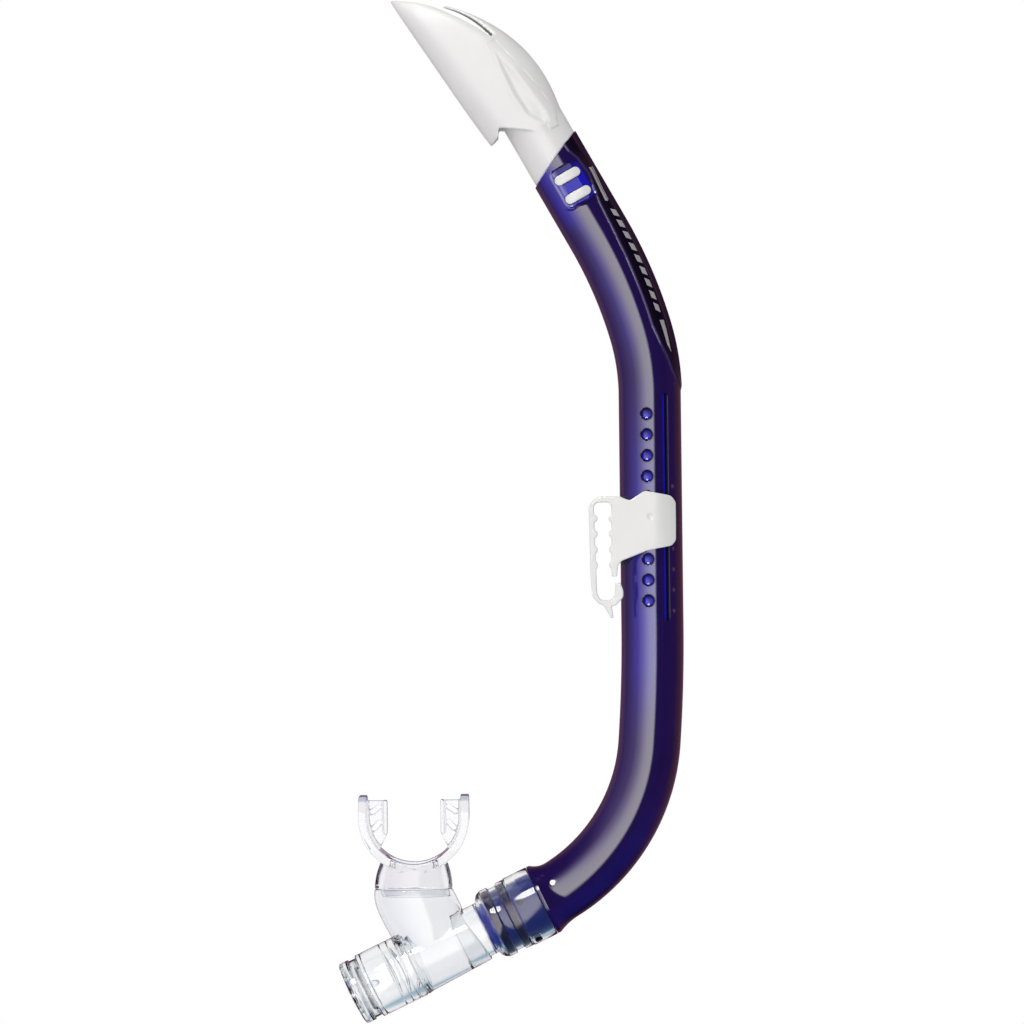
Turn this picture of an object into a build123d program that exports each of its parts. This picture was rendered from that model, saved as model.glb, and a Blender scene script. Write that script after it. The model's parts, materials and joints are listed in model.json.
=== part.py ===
from build123d import *

import os
from math import asin, degrees

# A J-shaped snorkel, in millimetres, upright as it is worn. +Z runs up the straight stretch of the
# barrel, +X points from the strap loop to the barrel, and +Y from the strap loop's face to its back.
# The origin is the centre of the keeper's strap loop. The barrel's centreline lies in a plane parallel
# to XZ, behind the loop.

# ---- driving dimensions ----

# Barrel: a round tube with a straight stretch, two bends above it and two below
TUBE_R = 13.7
TUBE_WALL = 1.8
BARREL_X = 21.6
STRAIGHT_FOOT = -34.0
STRAIGHT_TOP = 68.4
UPPER_BEND_R, UPPER_BEND = 103.0, 16.3
TOP_BEND_R, TOP_BEND = 200.0, 13.2
TOP_RUN = 37.5
GENTLE_BEND_R, GENTLE_BEND = 667.0, 4.33
MAIN_BEND_R, MAIN_BEND = 82.7, 59.95
FOOT_RUN = 1.6
SEAM_SLANT = 25.2

# Detent dimples and guide groove on each side of the straight stretch
DIMPLE_COUNT = 10
DIMPLE_PITCH = 9.09
DIMPLE_TOP_Z = 59.9
DIMPLE_X_OFFSET = -1.9
DIMPLE_R = 2.6
DIMPLE_BALL_R = 4.5
GROOVE_X_OFFSET = 6.4
GROOVE_FOOT_Z = -31.0
GROOVE_TOP_Z = 69.0
GROOVE_W = 3.0
GROOVE_DEPTH = 0.8

# Windows near the barrel's top, which the guard's latch pads fill
WINDOW_T = (-9.5, -18.9)
WINDOW_N = -0.7
WINDOW_LENGTH = 12.7
WINDOW_WIDTH = 4.5

# Keeper: a clip round the barrel, and the strap loop in the plate tangent to it
CLIP_GAP = 0.3
CLIP_WALL = 3.2
CLIP_END_X = 32.1
PLATE_START_X = 4.0
GATE_HEIGHT = 2.8
RIB_FOOT_Z = 6.4
RIB_TOP_Z = 23.2
RIB_GAP = 0.15
RIB_HEIGHT = 1.8
TOOTH_R = 1.7
TOOTH_PITCH = 6.8
TOOTH_TOP_Z = 14.3
TOOTH_COUNT = 4
TOOTH_XS = (-3.9, 4.3)

# Swivel joint: sizes along its axis (w, from the barrel's flared face) and radii
FLARE_R = 16.1
FLARE_START = (-9.0, 12.8)
FLARE_EDGE = 1.4
SPIGOT_R = 13.65
SPIGOT_END = 23.2
NOSE_R = 10.95
NOSE_END = 27.9
NOSE_BORE_R = 9.6
NOSE_TAPER = 3.0
RUNNING_GAP = 0.08
PEG_W = 8.7
PEG_R = 1.5
PEG_GROOVE_W = 3.6
PEG_GROOVE_DEPTH = 0.9
PEG_COUNT = 4
PEG_ANGLE = 20.0
PEG_TIP_R = SPIGOT_R - PEG_GROOVE_DEPTH + 0.15
SEAL_W = (13.75, 21.5)
SEAL_WIDTH = 2.4
SEAL_OUTER_R = 14.9
SEAL_GAP = 0.05
NECK_R = 12.0
NECK_END = 40.0
COLLAR_R = 16.2
COLLAR_BORE_R = SPIGOT_R + RUNNING_GAP
NECK_BORE_R = NOSE_R + 0.1
PEG_SKIN = 1.0

# Chamber, mouthpiece and purge
SLEEVE_R = 12.55
CHAMBER_END = 63.2
CHAMBER_WALL = 1.6
CHAMBER_RIM_W = 32.85
CHAMBER_RIM_SLANT = 8.8
OVERHANG_GAP = 0.05
HOUSING_R = 14.8
HOUSING_START = 52.0
HOUSING_SHOULDER = 84.9
HOUSING_END = 88.3
HOUSING_END_R = 13.7
HOUSING_BORE_R = 11.2
RING_LINE_W = (66.6, 69.8, 73.2, 82.7)
RING_LINE_HALF = 0.25
RING_LINE_DEPTH = 0.35
SEAM_Z = -147.5
MOUTH_X = -84.3
MOUTH_Z = -115.8
FLANGE_INNER_R = 20.5
FLANGE_OUTER_R = 24.3
FLANGE_TIP_Z = -106.6
FLANGE_HALF_HEIGHT = 15.0
MOUTH_WALL = 2.0
TAB_T = 3.0
TAB_INNER = 11.6
TAB_SLOT = (5.8, 2.0)
TAB_SLOTS = ((16.8, -112.6, 36), (16.4, -119.6, 48))
BEAD = (14.8, 1.8)
BEAD_HALF_HEIGHT = 4.0
SEAT_W = 84.6
SEAT_T = 1.4
SEAT_R = 12.2
SEAT_OPENING_R = 9.6
SEAT_HUB_R = 2.6
SPOKE_LENGTH = 20.0
SPOKE_WIDTH = 1.4
VALVE_R = 10.6
VALVE_T = 0.5
VALVE_GAP = 0.1
STEM_R = 0.95
BULB_R = 1.6
COVER_R = 14.4
COVER_FACE_W = 93.4
COVER_GAP = 0.1
COVER_SLOT = (6.6, 2.4)
COVER_SLOT_COUNT = 8
COVER_SLOT_RING_R = 7.2

# ---- derived places, and how far cutting shapes reach past what they cut ----

BORE_R = TUBE_R - TUBE_WALL
CLIP_R = TUBE_R + CLIP_GAP
PLATE_HALF = CLIP_WALL / 2
BARREL_Y = CLIP_R + PLATE_HALF
LINE_MARGIN = 10.0
OVERLAP = 1.0
PAST = 60.0
middle_plane = Plane.XZ.offset(-BARREL_Y)

# The barrel's centreline, as two halves that start at the foot of the straight stretch
with BuildLine(middle_plane) as upper_line:
    straight = Line((BARREL_X, STRAIGHT_FOOT), (BARREL_X, STRAIGHT_TOP))
    upper_bend = JernArc(straight @ 1, straight % 1, UPPER_BEND_R, UPPER_BEND)
    top_bend = JernArc(upper_bend @ 1, upper_bend % 1, TOP_BEND_R, TOP_BEND)
    top_run = Line(top_bend @ 1, top_bend @ 1 + (top_bend % 1) * (TOP_RUN + LINE_MARGIN))

with BuildLine(middle_plane) as lower_line:
    gentle_bend = JernArc(straight @ 0, Vector(0, 0, -1), GENTLE_BEND_R, -GENTLE_BEND)
    main_bend = JernArc(gentle_bend @ 1, gentle_bend % 1, MAIN_BEND_R, -MAIN_BEND)
    foot_run = Line(main_bend @ 1, main_bend @ 1 + (main_bend % 1) * FOOT_RUN)

# Top plane: local x (t) runs up the top run from the seam, local y (n) to the front of the guard
seam_centre = top_bend @ 1 + (top_bend % 1) * TOP_RUN
top_plane = Plane(origin=seam_centre, x_dir=top_bend % 1, z_dir=(0, -1, 0))
seam_normal = Vector(1, 0, 0).rotate(Axis.Z, SEAM_SLANT)
seam_plane = Plane(origin=seam_centre, z_dir=top_plane.from_local_coords(seam_normal) - seam_centre)

# Swivel plane: local x (w) runs out along the swivel axis from the flared face, local y (v) up
swivel_plane = Plane(origin=foot_run @ 1, x_dir=foot_run % 1, z_dir=(0, 1, 0))
swivel_axis = Axis(origin=foot_run @ 1, direction=foot_run % 1)


def across_swivel(w):
    """Plane across the swivel axis at w, its normal along the axis."""
    place = swivel_plane.from_local_coords((w, 0, 0))
    return Plane(origin=place, x_dir=(0, 1, 0), z_dir=swivel_plane.x_dir)


def across_top_run(t):
    """Plane across the top run at t, local x to the guard's front."""
    place = top_plane.from_local_coords((t, 0, 0))
    return Plane(origin=place, x_dir=top_plane.y_dir, z_dir=top_plane.x_dir)


# ---- barrel: tube, flared foot, spigot and nose, guide grooves, dimples and guard windows ----

dimple_zs = [DIMPLE_TOP_Z - DIMPLE_PITCH * i for i in range(DIMPLE_COUNT)]
dimple_depth = DIMPLE_BALL_R - (DIMPLE_BALL_R**2 - DIMPLE_R**2) ** 0.5
dimple_ball_y = (TUBE_R**2 - DIMPLE_X_OFFSET**2) ** 0.5 + DIMPLE_BALL_R - dimple_depth
groove_angle = degrees(asin(GROOVE_X_OFFSET / TUBE_R))
foot_plane = Plane(origin=straight @ 0)


def side_normal(side):
    """Direction from the barrel's axis out through the guide groove on one side (-1 or 1)."""
    return Vector(0, side, 0).rotate(Axis.Z, -side * groove_angle)


with BuildPart() as barrel:
    with BuildSketch(foot_plane) as tube_section:
        Circle(TUBE_R)
    sweep(path=upper_line.wire())
    sweep(sections=tube_section.sketch, path=lower_line.wire())
    with BuildSketch(swivel_plane):
        with BuildLine():
            Spline(FLARE_START, (-FLARE_EDGE, FLARE_R), tangents=[(1, 0.3), (1, 0.62)])
            Polyline(
                (-FLARE_EDGE, FLARE_R),
                (0, FLARE_R),
                (0, SPIGOT_R),
                (SPIGOT_END, SPIGOT_R),
                (SPIGOT_END, NOSE_R),
                (NOSE_END, NOSE_R),
                (NOSE_END, 0),
                (FLARE_START[0], 0),
                FLARE_START,
            )
        make_face()
    revolve(axis=swivel_axis)
    with BuildSketch(foot_plane) as bore_section:
        Circle(BORE_R)
    sweep(path=upper_line.wire(), mode=Mode.SUBTRACT)
    sweep(sections=bore_section.sketch, path=lower_line.wire(), mode=Mode.SUBTRACT)
    with BuildSketch(swivel_plane):
        with BuildLine():
            Polyline(
                (-OVERLAP, 0),
                (-OVERLAP, BORE_R),
                (SPIGOT_END - NOSE_TAPER, BORE_R),
                (SPIGOT_END, NOSE_BORE_R),
                (NOSE_END, NOSE_BORE_R),
                (NOSE_END, 0),
                close=True,
            )
        make_face()
    revolve(axis=swivel_axis, mode=Mode.SUBTRACT)
    with BuildSketch(across_swivel(PEG_W)):
        Circle(SPIGOT_R + OVERLAP)
        Circle(SPIGOT_R - PEG_GROOVE_DEPTH, mode=Mode.SUBTRACT)
    extrude(amount=PEG_GROOVE_W / 2, both=True, mode=Mode.SUBTRACT)
    for side in (-1, 1):
        ball_middle = Vector(BARREL_X + DIMPLE_X_OFFSET, BARREL_Y + side * dimple_ball_y, 0)
        with Locations(*(ball_middle + Vector(0, 0, z) for z in dimple_zs)):
            Sphere(DIMPLE_BALL_R, mode=Mode.SUBTRACT)
        groove_floor = Vector(BARREL_X, BARREL_Y, 0) + side_normal(side) * (TUBE_R - GROOVE_DEPTH)
        groove_middle = groove_floor + Vector(0, 0, (GROOVE_TOP_Z + GROOVE_FOOT_Z) / 2)
        with BuildSketch(Plane(origin=groove_middle, x_dir=(0, 0, 1), z_dir=side_normal(side))):
            SlotOverall(GROOVE_TOP_Z - GROOVE_FOOT_Z, GROOVE_W)
        extrude(amount=2 * GROOVE_DEPTH, mode=Mode.SUBTRACT)
    with BuildSketch(top_plane):
        with Locations(*((t, WINDOW_N) for t in WINDOW_T)):
            SlotOverall(WINDOW_LENGTH, WINDOW_WIDTH, rotation=90)
    extrude(amount=TUBE_R + OVERLAP, both=True, mode=Mode.SUBTRACT)
    split(bisect_by=seam_plane, keep=Keep.BOTTOM)
barrel.part.label = "barrel"

# ---- keeper: clip, tangent plate, toothed strap loop with its gate, and pull tail ----

tooth_zs = [TOOTH_TOP_Z - TOOTH_PITCH * i for i in range(TOOTH_COUNT)]

def round_corners(sketch, corners):
    """Round the sketch's corners nearest to the given places, each by its radius."""
    for place, radius in corners:
        fillet(sketch.vertices().sort_by_distance(Vector(*place))[0], radius=radius)


with BuildPart() as keeper:
    with BuildSketch(Plane.XY):
        with Locations((BARREL_X, BARREL_Y)):
            Circle(CLIP_R + CLIP_WALL)
        with Locations((PLATE_START_X, -PLATE_HALF)):
            Rectangle(BARREL_X - PLATE_START_X, CLIP_WALL, align=(Align.MIN, Align.MIN))
        with Locations((BARREL_X, BARREL_Y)):
            Circle(CLIP_R, mode=Mode.SUBTRACT)
        with Locations((CLIP_END_X, BARREL_Y)):
            Rectangle(PAST, PAST, align=(Align.MIN, Align.CENTER), mode=Mode.SUBTRACT)
    extrude(amount=PAST, both=True)
    # The clip's side view, from the loop's top corner round to the loop's inner leg
    with BuildSketch(Plane.XZ) as side_view:
        with BuildLine():
            Polyline(
                (PLATE_START_X, 24.0),
                (7.3, 23.9),
                (11.9, 22.0),
                (18.5, 26.3),
                (30.1, 24.0),
                (32.2, 21.0),
                (32.0, 4.3),
                (30.1, 2.1),
                (19.7, 0.2),
                (8.1, -4.3),
                (6.5, -6.5),
                (PLATE_START_X, -6.5),
                close=True,
            )
        make_face()
        round_corners(
            side_view,
            (
                ((11.9, 22.0), 2.0),
                ((18.5, 26.3), 3.0),
                ((30.1, 24.0), 3.2),
                ((32.2, 21.0), 3.2),
                ((32.0, 4.3), 2.4),
                ((30.1, 2.1), 2.4),
                ((19.7, 0.2), 8.0),
                ((8.1, -4.3), 2.5),
            ),
        )
    extrude(amount=PAST, both=True, mode=Mode.INTERSECT)
    # Strap loop: frame with rounded corners, open at the gate, with teeth on both long bars
    with BuildSketch(Plane.XZ.offset(-PLATE_HALF)) as loop:
        with BuildLine():
            Polyline(
                (-6.1, 19.9),
                (-2.7, 23.9),
                (8.0, 23.9),
                (8.0, -4.3),
                (6.5, -6.5),
                (6.0, -11.1),
                (6.0, -13.8),
                (7.4, -13.8),
                (8.7, -17.3),
                (8.7, -20.2),
                (5.3, -23.9),
                (1.2, -24.4),
                (-2.3, -22.8),
                (-5.0, -20.0),
                (-5.6, -10.4),
                close=True,
            )
        make_face()
        round_corners(
            loop,
            (
                ((-6.1, 19.9), 5.0),
                ((-2.7, 23.9), 5.0),
                ((8.7, -17.3), 4.0),
                ((8.7, -20.2), 3.0),
                ((5.3, -23.9), 3.0),
                ((-2.3, -22.8), 4.0),
                ((-5.0, -20.0), 5.0),
            ),
        )
        with BuildLine(mode=Mode.PRIVATE) as window_line:
            Polyline(
                (-3.8, 19.8),
                (-2.2, 21.3),
                (2.5, 21.3),
                (3.9, 19.8),
                (3.6, -11.0),
                (5.3, -13.9),
                (5.0, -19.5),
                (3.3, -21.4),
                (-1.3, -21.4),
                (-2.8, -18.0),
                close=True,
            )
        make_face(window_line.edges(), mode=Mode.SUBTRACT)
        round_corners(
            loop,
            (
                ((-3.8, 19.8), 1.5),
                ((-2.2, 21.3), 1.5),
                ((2.5, 21.3), 1.5),
                ((3.9, 19.8), 1.5),
                ((5.0, -19.5), 1.6),
                ((3.3, -21.4), 1.6),
                ((-1.3, -21.4), 2.0),
                ((-2.8, -18.0), 3.0),
            ),
        )
        with Locations((6.0, -12.5)):
            Rectangle(7.0, GATE_HEIGHT, mode=Mode.SUBTRACT)
        with Locations(*((x, z) for x in TOOTH_XS for z in tooth_zs)):
            Circle(TOOTH_R)
        with BuildLine(mode=Mode.PRIVATE) as tail_line:
            Polyline((-0.1, -23.5), (3.2, -29.5), (4.3, -29.0), (3.4, -23.5), close=True)
        make_face(tail_line.edges())
    extrude(amount=CLIP_WALL)
    # Rib on the inside of each arm, running in the barrel's guide groove
    for side in (-1, 1):
        rib_root = Vector(BARREL_X, BARREL_Y, 0) + side_normal(side) * (TUBE_R - GROOVE_DEPTH + RIB_GAP)
        rib_middle = rib_root + Vector(0, 0, (RIB_TOP_Z + RIB_FOOT_Z) / 2)
        with BuildSketch(Plane(origin=rib_middle, x_dir=(0, 0, 1), z_dir=side_normal(side))):
            SlotOverall(RIB_TOP_Z - RIB_FOOT_Z, GROOVE_W - 4 * RIB_GAP)
        extrude(amount=RIB_HEIGHT)
keeper.part.label = "keeper"

# ---- coupling: clear swivel collar, held by pegs in the spigot's groove ----

with BuildPart() as coupling:
    with BuildSketch(swivel_plane):
        with BuildLine():
            Polyline(
                (0.3, COLLAR_BORE_R),
                (0.3, COLLAR_R),
                (11.3, COLLAR_R),
                (11.6, 15.9),
                (15.5, 15.9),
                (15.8, 14.9),
                (19.6, 14.9),
                (19.8, 15.9),
                (23.2, 15.9),
                (25.2, 15.0),
                (26.7, 13.0),
                (27.0, NECK_R),
                (NECK_END, NECK_R),
                (NECK_END, 10.4),
                (NOSE_END + 0.3, 10.4),
                (NOSE_END + 0.3, NECK_BORE_R),
                (SPIGOT_END + 0.3, NECK_BORE_R),
                (SPIGOT_END + 0.3, COLLAR_BORE_R),
                close=True,
            )
        make_face()
    revolve(axis=swivel_axis)
    # Seal glands in the bore, under the two outer rings
    for w in SEAL_W:
        with BuildSketch(across_swivel(w)):
            Circle(SEAL_OUTER_R)
            Circle(SPIGOT_R, mode=Mode.SUBTRACT)
        extrude(amount=SEAL_WIDTH / 2, both=True, mode=Mode.SUBTRACT)
    # Round locking pegs inside the collar wall, running in the spigot's groove
    for i in range(PEG_COUNT):
        peg_normal = Vector(0, -1, 0).rotate(swivel_axis, PEG_ANGLE + 360 / PEG_COUNT * i)
        peg_tip = swivel_plane.from_local_coords((PEG_W, 0, 0)) + peg_normal * PEG_TIP_R
        with BuildSketch(Plane(origin=peg_tip, z_dir=peg_normal)):
            Circle(PEG_R)
        extrude(amount=COLLAR_R - PEG_SKIN - PEG_TIP_R)
coupling.part.label = "coupling"

# ---- swivel seals: two rings in the coupling's glands, running on the spigot ----

with BuildPart() as swivel_seals:
    for w in SEAL_W:
        with BuildSketch(across_swivel(w)):
            Circle(SEAL_OUTER_R)
            Circle(SPIGOT_R + SEAL_GAP, mode=Mode.SUBTRACT)
        extrude(amount=SEAL_WIDTH / 2, both=True)
swivel_seals.part.label = "swivel_seals"

# ---- chamber: soft T-piece between coupling, mouthpiece and purge ----

# The neck's oval sections: height, centre X, half width in X and in Y
NECK_SECTIONS = (
    (SEAM_Z, -84.85, 17.1, 12.6),
    (-156.0, -82.4, 18.7, 13.2),
    (-166.0, -79.0, 17.4, 13.5),
    (-177.0, -79.5, 12.0, 11.8),
)


def oval(z, x, half_x, half_y):
    """Sketch of an oval on a level plane, round the barrel's middle plane."""
    with BuildSketch(Plane.XY.offset(z)) as sketch:
        with Locations((x, BARREL_Y)):
            Ellipse(half_x, half_y)
    return sketch.sketch


def shrunk(sections, wall):
    """The same oval sections, each smaller all round by the wall."""
    return [(z, x, half_x - wall, half_y - wall) for z, x, half_x, half_y in sections]


with BuildPart() as chamber:
    with BuildSketch(swivel_plane):
        with BuildLine():
            Polyline(
                (CHAMBER_RIM_W - 4, 0),
                (CHAMBER_RIM_W - 4, 13.35),
                (CHAMBER_END - 1.8, 14.4),
                (CHAMBER_END - 1.6, 14.7),
                (CHAMBER_END, 14.7),
                (CHAMBER_END, 0),
                close=True,
            )
        make_face()
    revolve(axis=swivel_axis)
    rim_plane = across_swivel(CHAMBER_RIM_W).rotated((-CHAMBER_RIM_SLANT, 0, 0))
    split(bisect_by=rim_plane, keep=Keep.TOP)
    loft(sections=[oval(*section) for section in NECK_SECTIONS])
    loft(sections=[oval(*section) for section in shrunk(NECK_SECTIONS, CHAMBER_WALL)], mode=Mode.SUBTRACT)
    with BuildSketch(swivel_plane):
        with BuildLine():
            Polyline(
                (CHAMBER_RIM_W - 5, 0),
                (CHAMBER_RIM_W - 5, NECK_R),
                (NECK_END, NECK_R),
                (NECK_END + 1, SLEEVE_R),
                (CHAMBER_END + OVERLAP, SLEEVE_R),
                (CHAMBER_END + OVERLAP, 0),
                close=True,
            )
        make_face()
    revolve(axis=swivel_axis, mode=Mode.SUBTRACT)
    # The neck overhangs the purge housing, clear of it
    with BuildSketch(across_swivel(CHAMBER_END)):
        Circle(HOUSING_R + OVERHANG_GAP)
    extrude(amount=PAST, mode=Mode.SUBTRACT)
chamber.part.label = "chamber"

# ---- mouthpiece: sleeve in the chamber's neck, curved lip flange and two bite tabs ----

SLEEVE_SECTIONS = ((SEAM_Z, -84.85, 15.3, 10.8), (-158.0, -80.8, 13.8, 9.6))
STEM_SECTIONS = ((SEAM_Z, -84.85, 17.1, 12.6), (-138.0, -84.6, 15.5, 11.4), (-131.0, -84.3, 12.0, 9.0))
BORE_SECTIONS = ((SEAM_Z, -84.85, 13.5, 9.0), (-130.0, -84.3, 10.0, 6.5))

with BuildPart() as mouthpiece:
    # Lip flange: a trough, rounded towards its tips
    with BuildSketch(middle_plane):
        with Locations((MOUTH_X, MOUTH_Z)):
            Circle(FLANGE_OUTER_R)
        with Locations((MOUTH_X, MOUTH_Z)):
            Rectangle(2 * FLANGE_OUTER_R, FLANGE_TIP_Z - MOUTH_Z, align=(Align.CENTER, Align.MIN))
        with Locations((MOUTH_X, MOUTH_Z)):
            Circle(FLANGE_INNER_R, mode=Mode.SUBTRACT)
            Rectangle(2 * FLANGE_INNER_R, PAST, align=(Align.CENTER, Align.MIN), mode=Mode.SUBTRACT)
        with Locations((MOUTH_X, FLANGE_TIP_Z)):
            Rectangle(PAST, PAST, align=(Align.CENTER, Align.MIN), mode=Mode.SUBTRACT)
    extrude(amount=FLANGE_HALF_HEIGHT, both=True)
    # The flange seen end on: an octagon
    with BuildSketch(Plane.YZ.offset(MOUTH_X)):
        with BuildLine():
            Polyline(
                (BARREL_Y - 10, FLANGE_TIP_Z + 1),
                (BARREL_Y - FLANGE_HALF_HEIGHT, FLANGE_TIP_Z - 7),
                (BARREL_Y - FLANGE_HALF_HEIGHT, MOUTH_Z - 14),
                (BARREL_Y - 11, MOUTH_Z - 26),
                (BARREL_Y + 11, MOUTH_Z - 26),
                (BARREL_Y + FLANGE_HALF_HEIGHT, MOUTH_Z - 14),
                (BARREL_Y + FLANGE_HALF_HEIGHT, FLANGE_TIP_Z - 7),
                (BARREL_Y + 10, FLANGE_TIP_Z + 1),
                close=True,
            )
        make_face()
    extrude(amount=PAST, both=True, mode=Mode.INTERSECT)
    loft(sections=[oval(*section) for section in STEM_SECTIONS])
    loft(sections=[oval(*section) for section in SLEEVE_SECTIONS])
    # Clear the trough again above the stem
    with BuildSketch(middle_plane):
        with Locations((MOUTH_X, MOUTH_Z)):
            Circle(FLANGE_INNER_R)
    extrude(amount=FLANGE_HALF_HEIGHT, both=True, mode=Mode.SUBTRACT)
    # Bite tabs: a slotted plate on each side, with a bead along its free edge
    with BuildSketch(middle_plane):
        for side in (-1, 1):
            with BuildLine(mode=Mode.PRIVATE) as tab_line:
                Polyline(
                    (MOUTH_X + side * (FLANGE_INNER_R + 0.5), -108.6),
                    (MOUTH_X + side * TAB_INNER, -108.6),
                    (MOUTH_X + side * TAB_INNER, -123.0),
                    (MOUTH_X + side * 15.4, -130.6),
                    (MOUTH_X + side * (FLANGE_INNER_R + 0.5), -122.0),
                    close=True,
                )
            make_face(tab_line.edges())
        for side in (-1, 1):
            for reach, z, tilt in TAB_SLOTS:
                with Locations((MOUTH_X + side * reach, z)):
                    SlotOverall(*TAB_SLOT, rotation=-side * tilt, mode=Mode.SUBTRACT)
    extrude(amount=TAB_T / 2, both=True)
    with BuildSketch(middle_plane):
        for side in (-1, 1):
            with Locations((MOUTH_X + side * (TAB_INNER + BEAD[1] / 2), MOUTH_Z)):
                SlotOverall(*BEAD, rotation=90)
    extrude(amount=BEAD_HALF_HEIGHT, both=True)
    loft(sections=[oval(*section) for section in BORE_SECTIONS], mode=Mode.SUBTRACT)
    loft(sections=[oval(*section) for section in shrunk(SLEEVE_SECTIONS, MOUTH_WALL)], mode=Mode.SUBTRACT)
mouthpiece.part.label = "mouthpiece"

# ---- purge: housing, spoked seat, mushroom valve and cover, all round the swivel axis ----

with BuildPart() as purge_housing:
    with BuildSketch(swivel_plane):
        with BuildLine():
            Polyline(
                (HOUSING_START, HOUSING_BORE_R),
                (HOUSING_START, SLEEVE_R),
                (CHAMBER_END, SLEEVE_R),
                (CHAMBER_END, HOUSING_R),
                (HOUSING_SHOULDER, HOUSING_R),
                (HOUSING_SHOULDER, HOUSING_END_R),
                (HOUSING_END, HOUSING_END_R),
                (HOUSING_END, SEAT_R),
                (SEAT_W, SEAT_R),
                (SEAT_W, HOUSING_BORE_R),
                close=True,
            )
        make_face()
    revolve(axis=swivel_axis)
    for w in RING_LINE_W:
        with BuildSketch(across_swivel(w)):
            Circle(HOUSING_R + OVERLAP)
            Circle(HOUSING_R - RING_LINE_DEPTH, mode=Mode.SUBTRACT)
        extrude(amount=RING_LINE_HALF, both=True, mode=Mode.SUBTRACT)
purge_housing.part.label = "purge_housing"

with BuildPart() as purge_seat:
    with BuildSketch(across_swivel(SEAT_W)):
        Circle(SEAT_R)
        Circle(SEAT_OPENING_R, mode=Mode.SUBTRACT)
        Circle(SEAT_HUB_R)
        for angle in (0, 60, 120):
            Rectangle(SPOKE_LENGTH, SPOKE_WIDTH, rotation=angle)
        Circle(STEM_R + RUNNING_GAP, mode=Mode.SUBTRACT)
    extrude(amount=SEAT_T)
purge_seat.part.label = "purge_seat"

VALVE_W = SEAT_W + SEAT_T + VALVE_GAP
BULB_W = SEAT_W - 3.4
BULB_TAPER = 1.6

with BuildPart() as purge_valve:
    with BuildSketch(swivel_plane):
        with BuildLine():
            Polyline(
                (VALVE_W, STEM_R),
                (VALVE_W, VALVE_R),
                (VALVE_W + VALVE_T, VALVE_R),
                (VALVE_W + VALVE_T + 0.4, 0),
                (BULB_W - BULB_TAPER, 0),
                (BULB_W - BULB_TAPER, 0.6),
                (BULB_W, BULB_R),
                (BULB_W + 1.2, BULB_R),
                (BULB_W + 1.6, STEM_R),
                close=True,
            )
        make_face()
    revolve(axis=swivel_axis)
purge_valve.part.label = "purge_valve"

with BuildPart() as purge_cover:
    with BuildSketch(swivel_plane):
        with BuildLine():
            Polyline(
                (87.6, 11.2),
                (87.6, SEAT_R - 0.05),
                (HOUSING_END + COVER_GAP, SEAT_R - 0.05),
                (HOUSING_END + COVER_GAP, COVER_R),
                (92.4, COVER_R),
                (93.1, 13.6),
                (COVER_FACE_W + 0.3, 8.0),
                (COVER_FACE_W + 0.5, 0),
                (COVER_FACE_W - 0.9, 0),
                (COVER_FACE_W - 1.1, 8.0),
                (91.4, 12.2),
                (90.0, 12.2),
                (88.6, 11.2),
                close=True,
            )
        make_face()
    revolve(axis=swivel_axis)
    # Exhaust slots through the face
    with BuildSketch(across_swivel(COVER_FACE_W)):
        with PolarLocations(COVER_SLOT_RING_R, COVER_SLOT_COUNT):
            SlotOverall(*COVER_SLOT)
    extrude(amount=3 * OVERLAP, both=True, mode=Mode.SUBTRACT)
purge_cover.part.label = "purge_cover"

# ---- splash guard: plug with latch pads, stem, and the open-topped fairing over it ----

# The fairing's sections: t, front and back reach n, half width in Y, corner radius
GUARD_WALL = 1.6
GUARD_SECTIONS = (
    (-5.5, 19.0, -13.4, 13.3, 12.6),
    (20.5, 21.4, -13.7, 13.4, 12.6),
    (43.1, 23.7, -14.0, 13.2, 12.0),
    (61.2, 25.1, -8.2, 12.4, 11.0),
    (77.5, 26.4, 2.7, 10.6, 9.0),
    (88.5, 27.2, 13.0, 7.6, 6.0),
    (96.5, 27.7, 20.0, 3.2, 3.0),
)
RIM_FOOT = (60.5, -2.2)
RIM_TIP = (96.5, 27.0)
PLUG_R = BORE_R - 0.03
PLUG_LENGTH = 27.0
PLUG_IN_STEM = 8.0
GUARD_BORE_R = 10.2
STEM_OUTER_R = 13.2
STEM_N = -0.3
STEM_START = 10.0
STEM_TOP_T = 32.0
TONGUE_ROOT_T = RIM_FOOT[0]
TONGUE_TIP_T = 83.0
TONGUE_FRONT_N = 13.0
TONGUE_HALF = 9.0
PAD_GAP = 0.2
PAD_R = TUBE_R - 0.3
PAD_ROOT_R = PLUG_R - 0.5
DISH_FLOOR = 12.6
DISH_TIP = (56.1, -1.2)


def guard_section(t, front, back, half_width, corner, wall=0.0):
    """Sketch of a rounded rectangle across the top run, shrunk all round by the wall."""
    with BuildSketch(across_top_run(t)) as sketch:
        with Locations(((front + back) / 2, 0)):
            RectangleRounded(front - back - 2 * wall, 2 * (half_width - wall), corner - wall)
    return sketch.sketch


with BuildPart() as fairing:
    loft(sections=[guard_section(*section) for section in GUARD_SECTIONS])
    inner_sections = [guard_section(*section, wall=GUARD_WALL) for section in GUARD_SECTIONS]
    loft(sections=inner_sections, mode=Mode.SUBTRACT)

# Rear tongue: the pointed middle of the back wall, standing above the open top's rim
back_plane = Plane(origin=seam_centre, x_dir=top_plane.x_dir, z_dir=top_plane.y_dir * -1)
tongue_plane = back_plane.offset(-TONGUE_FRONT_N)

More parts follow.
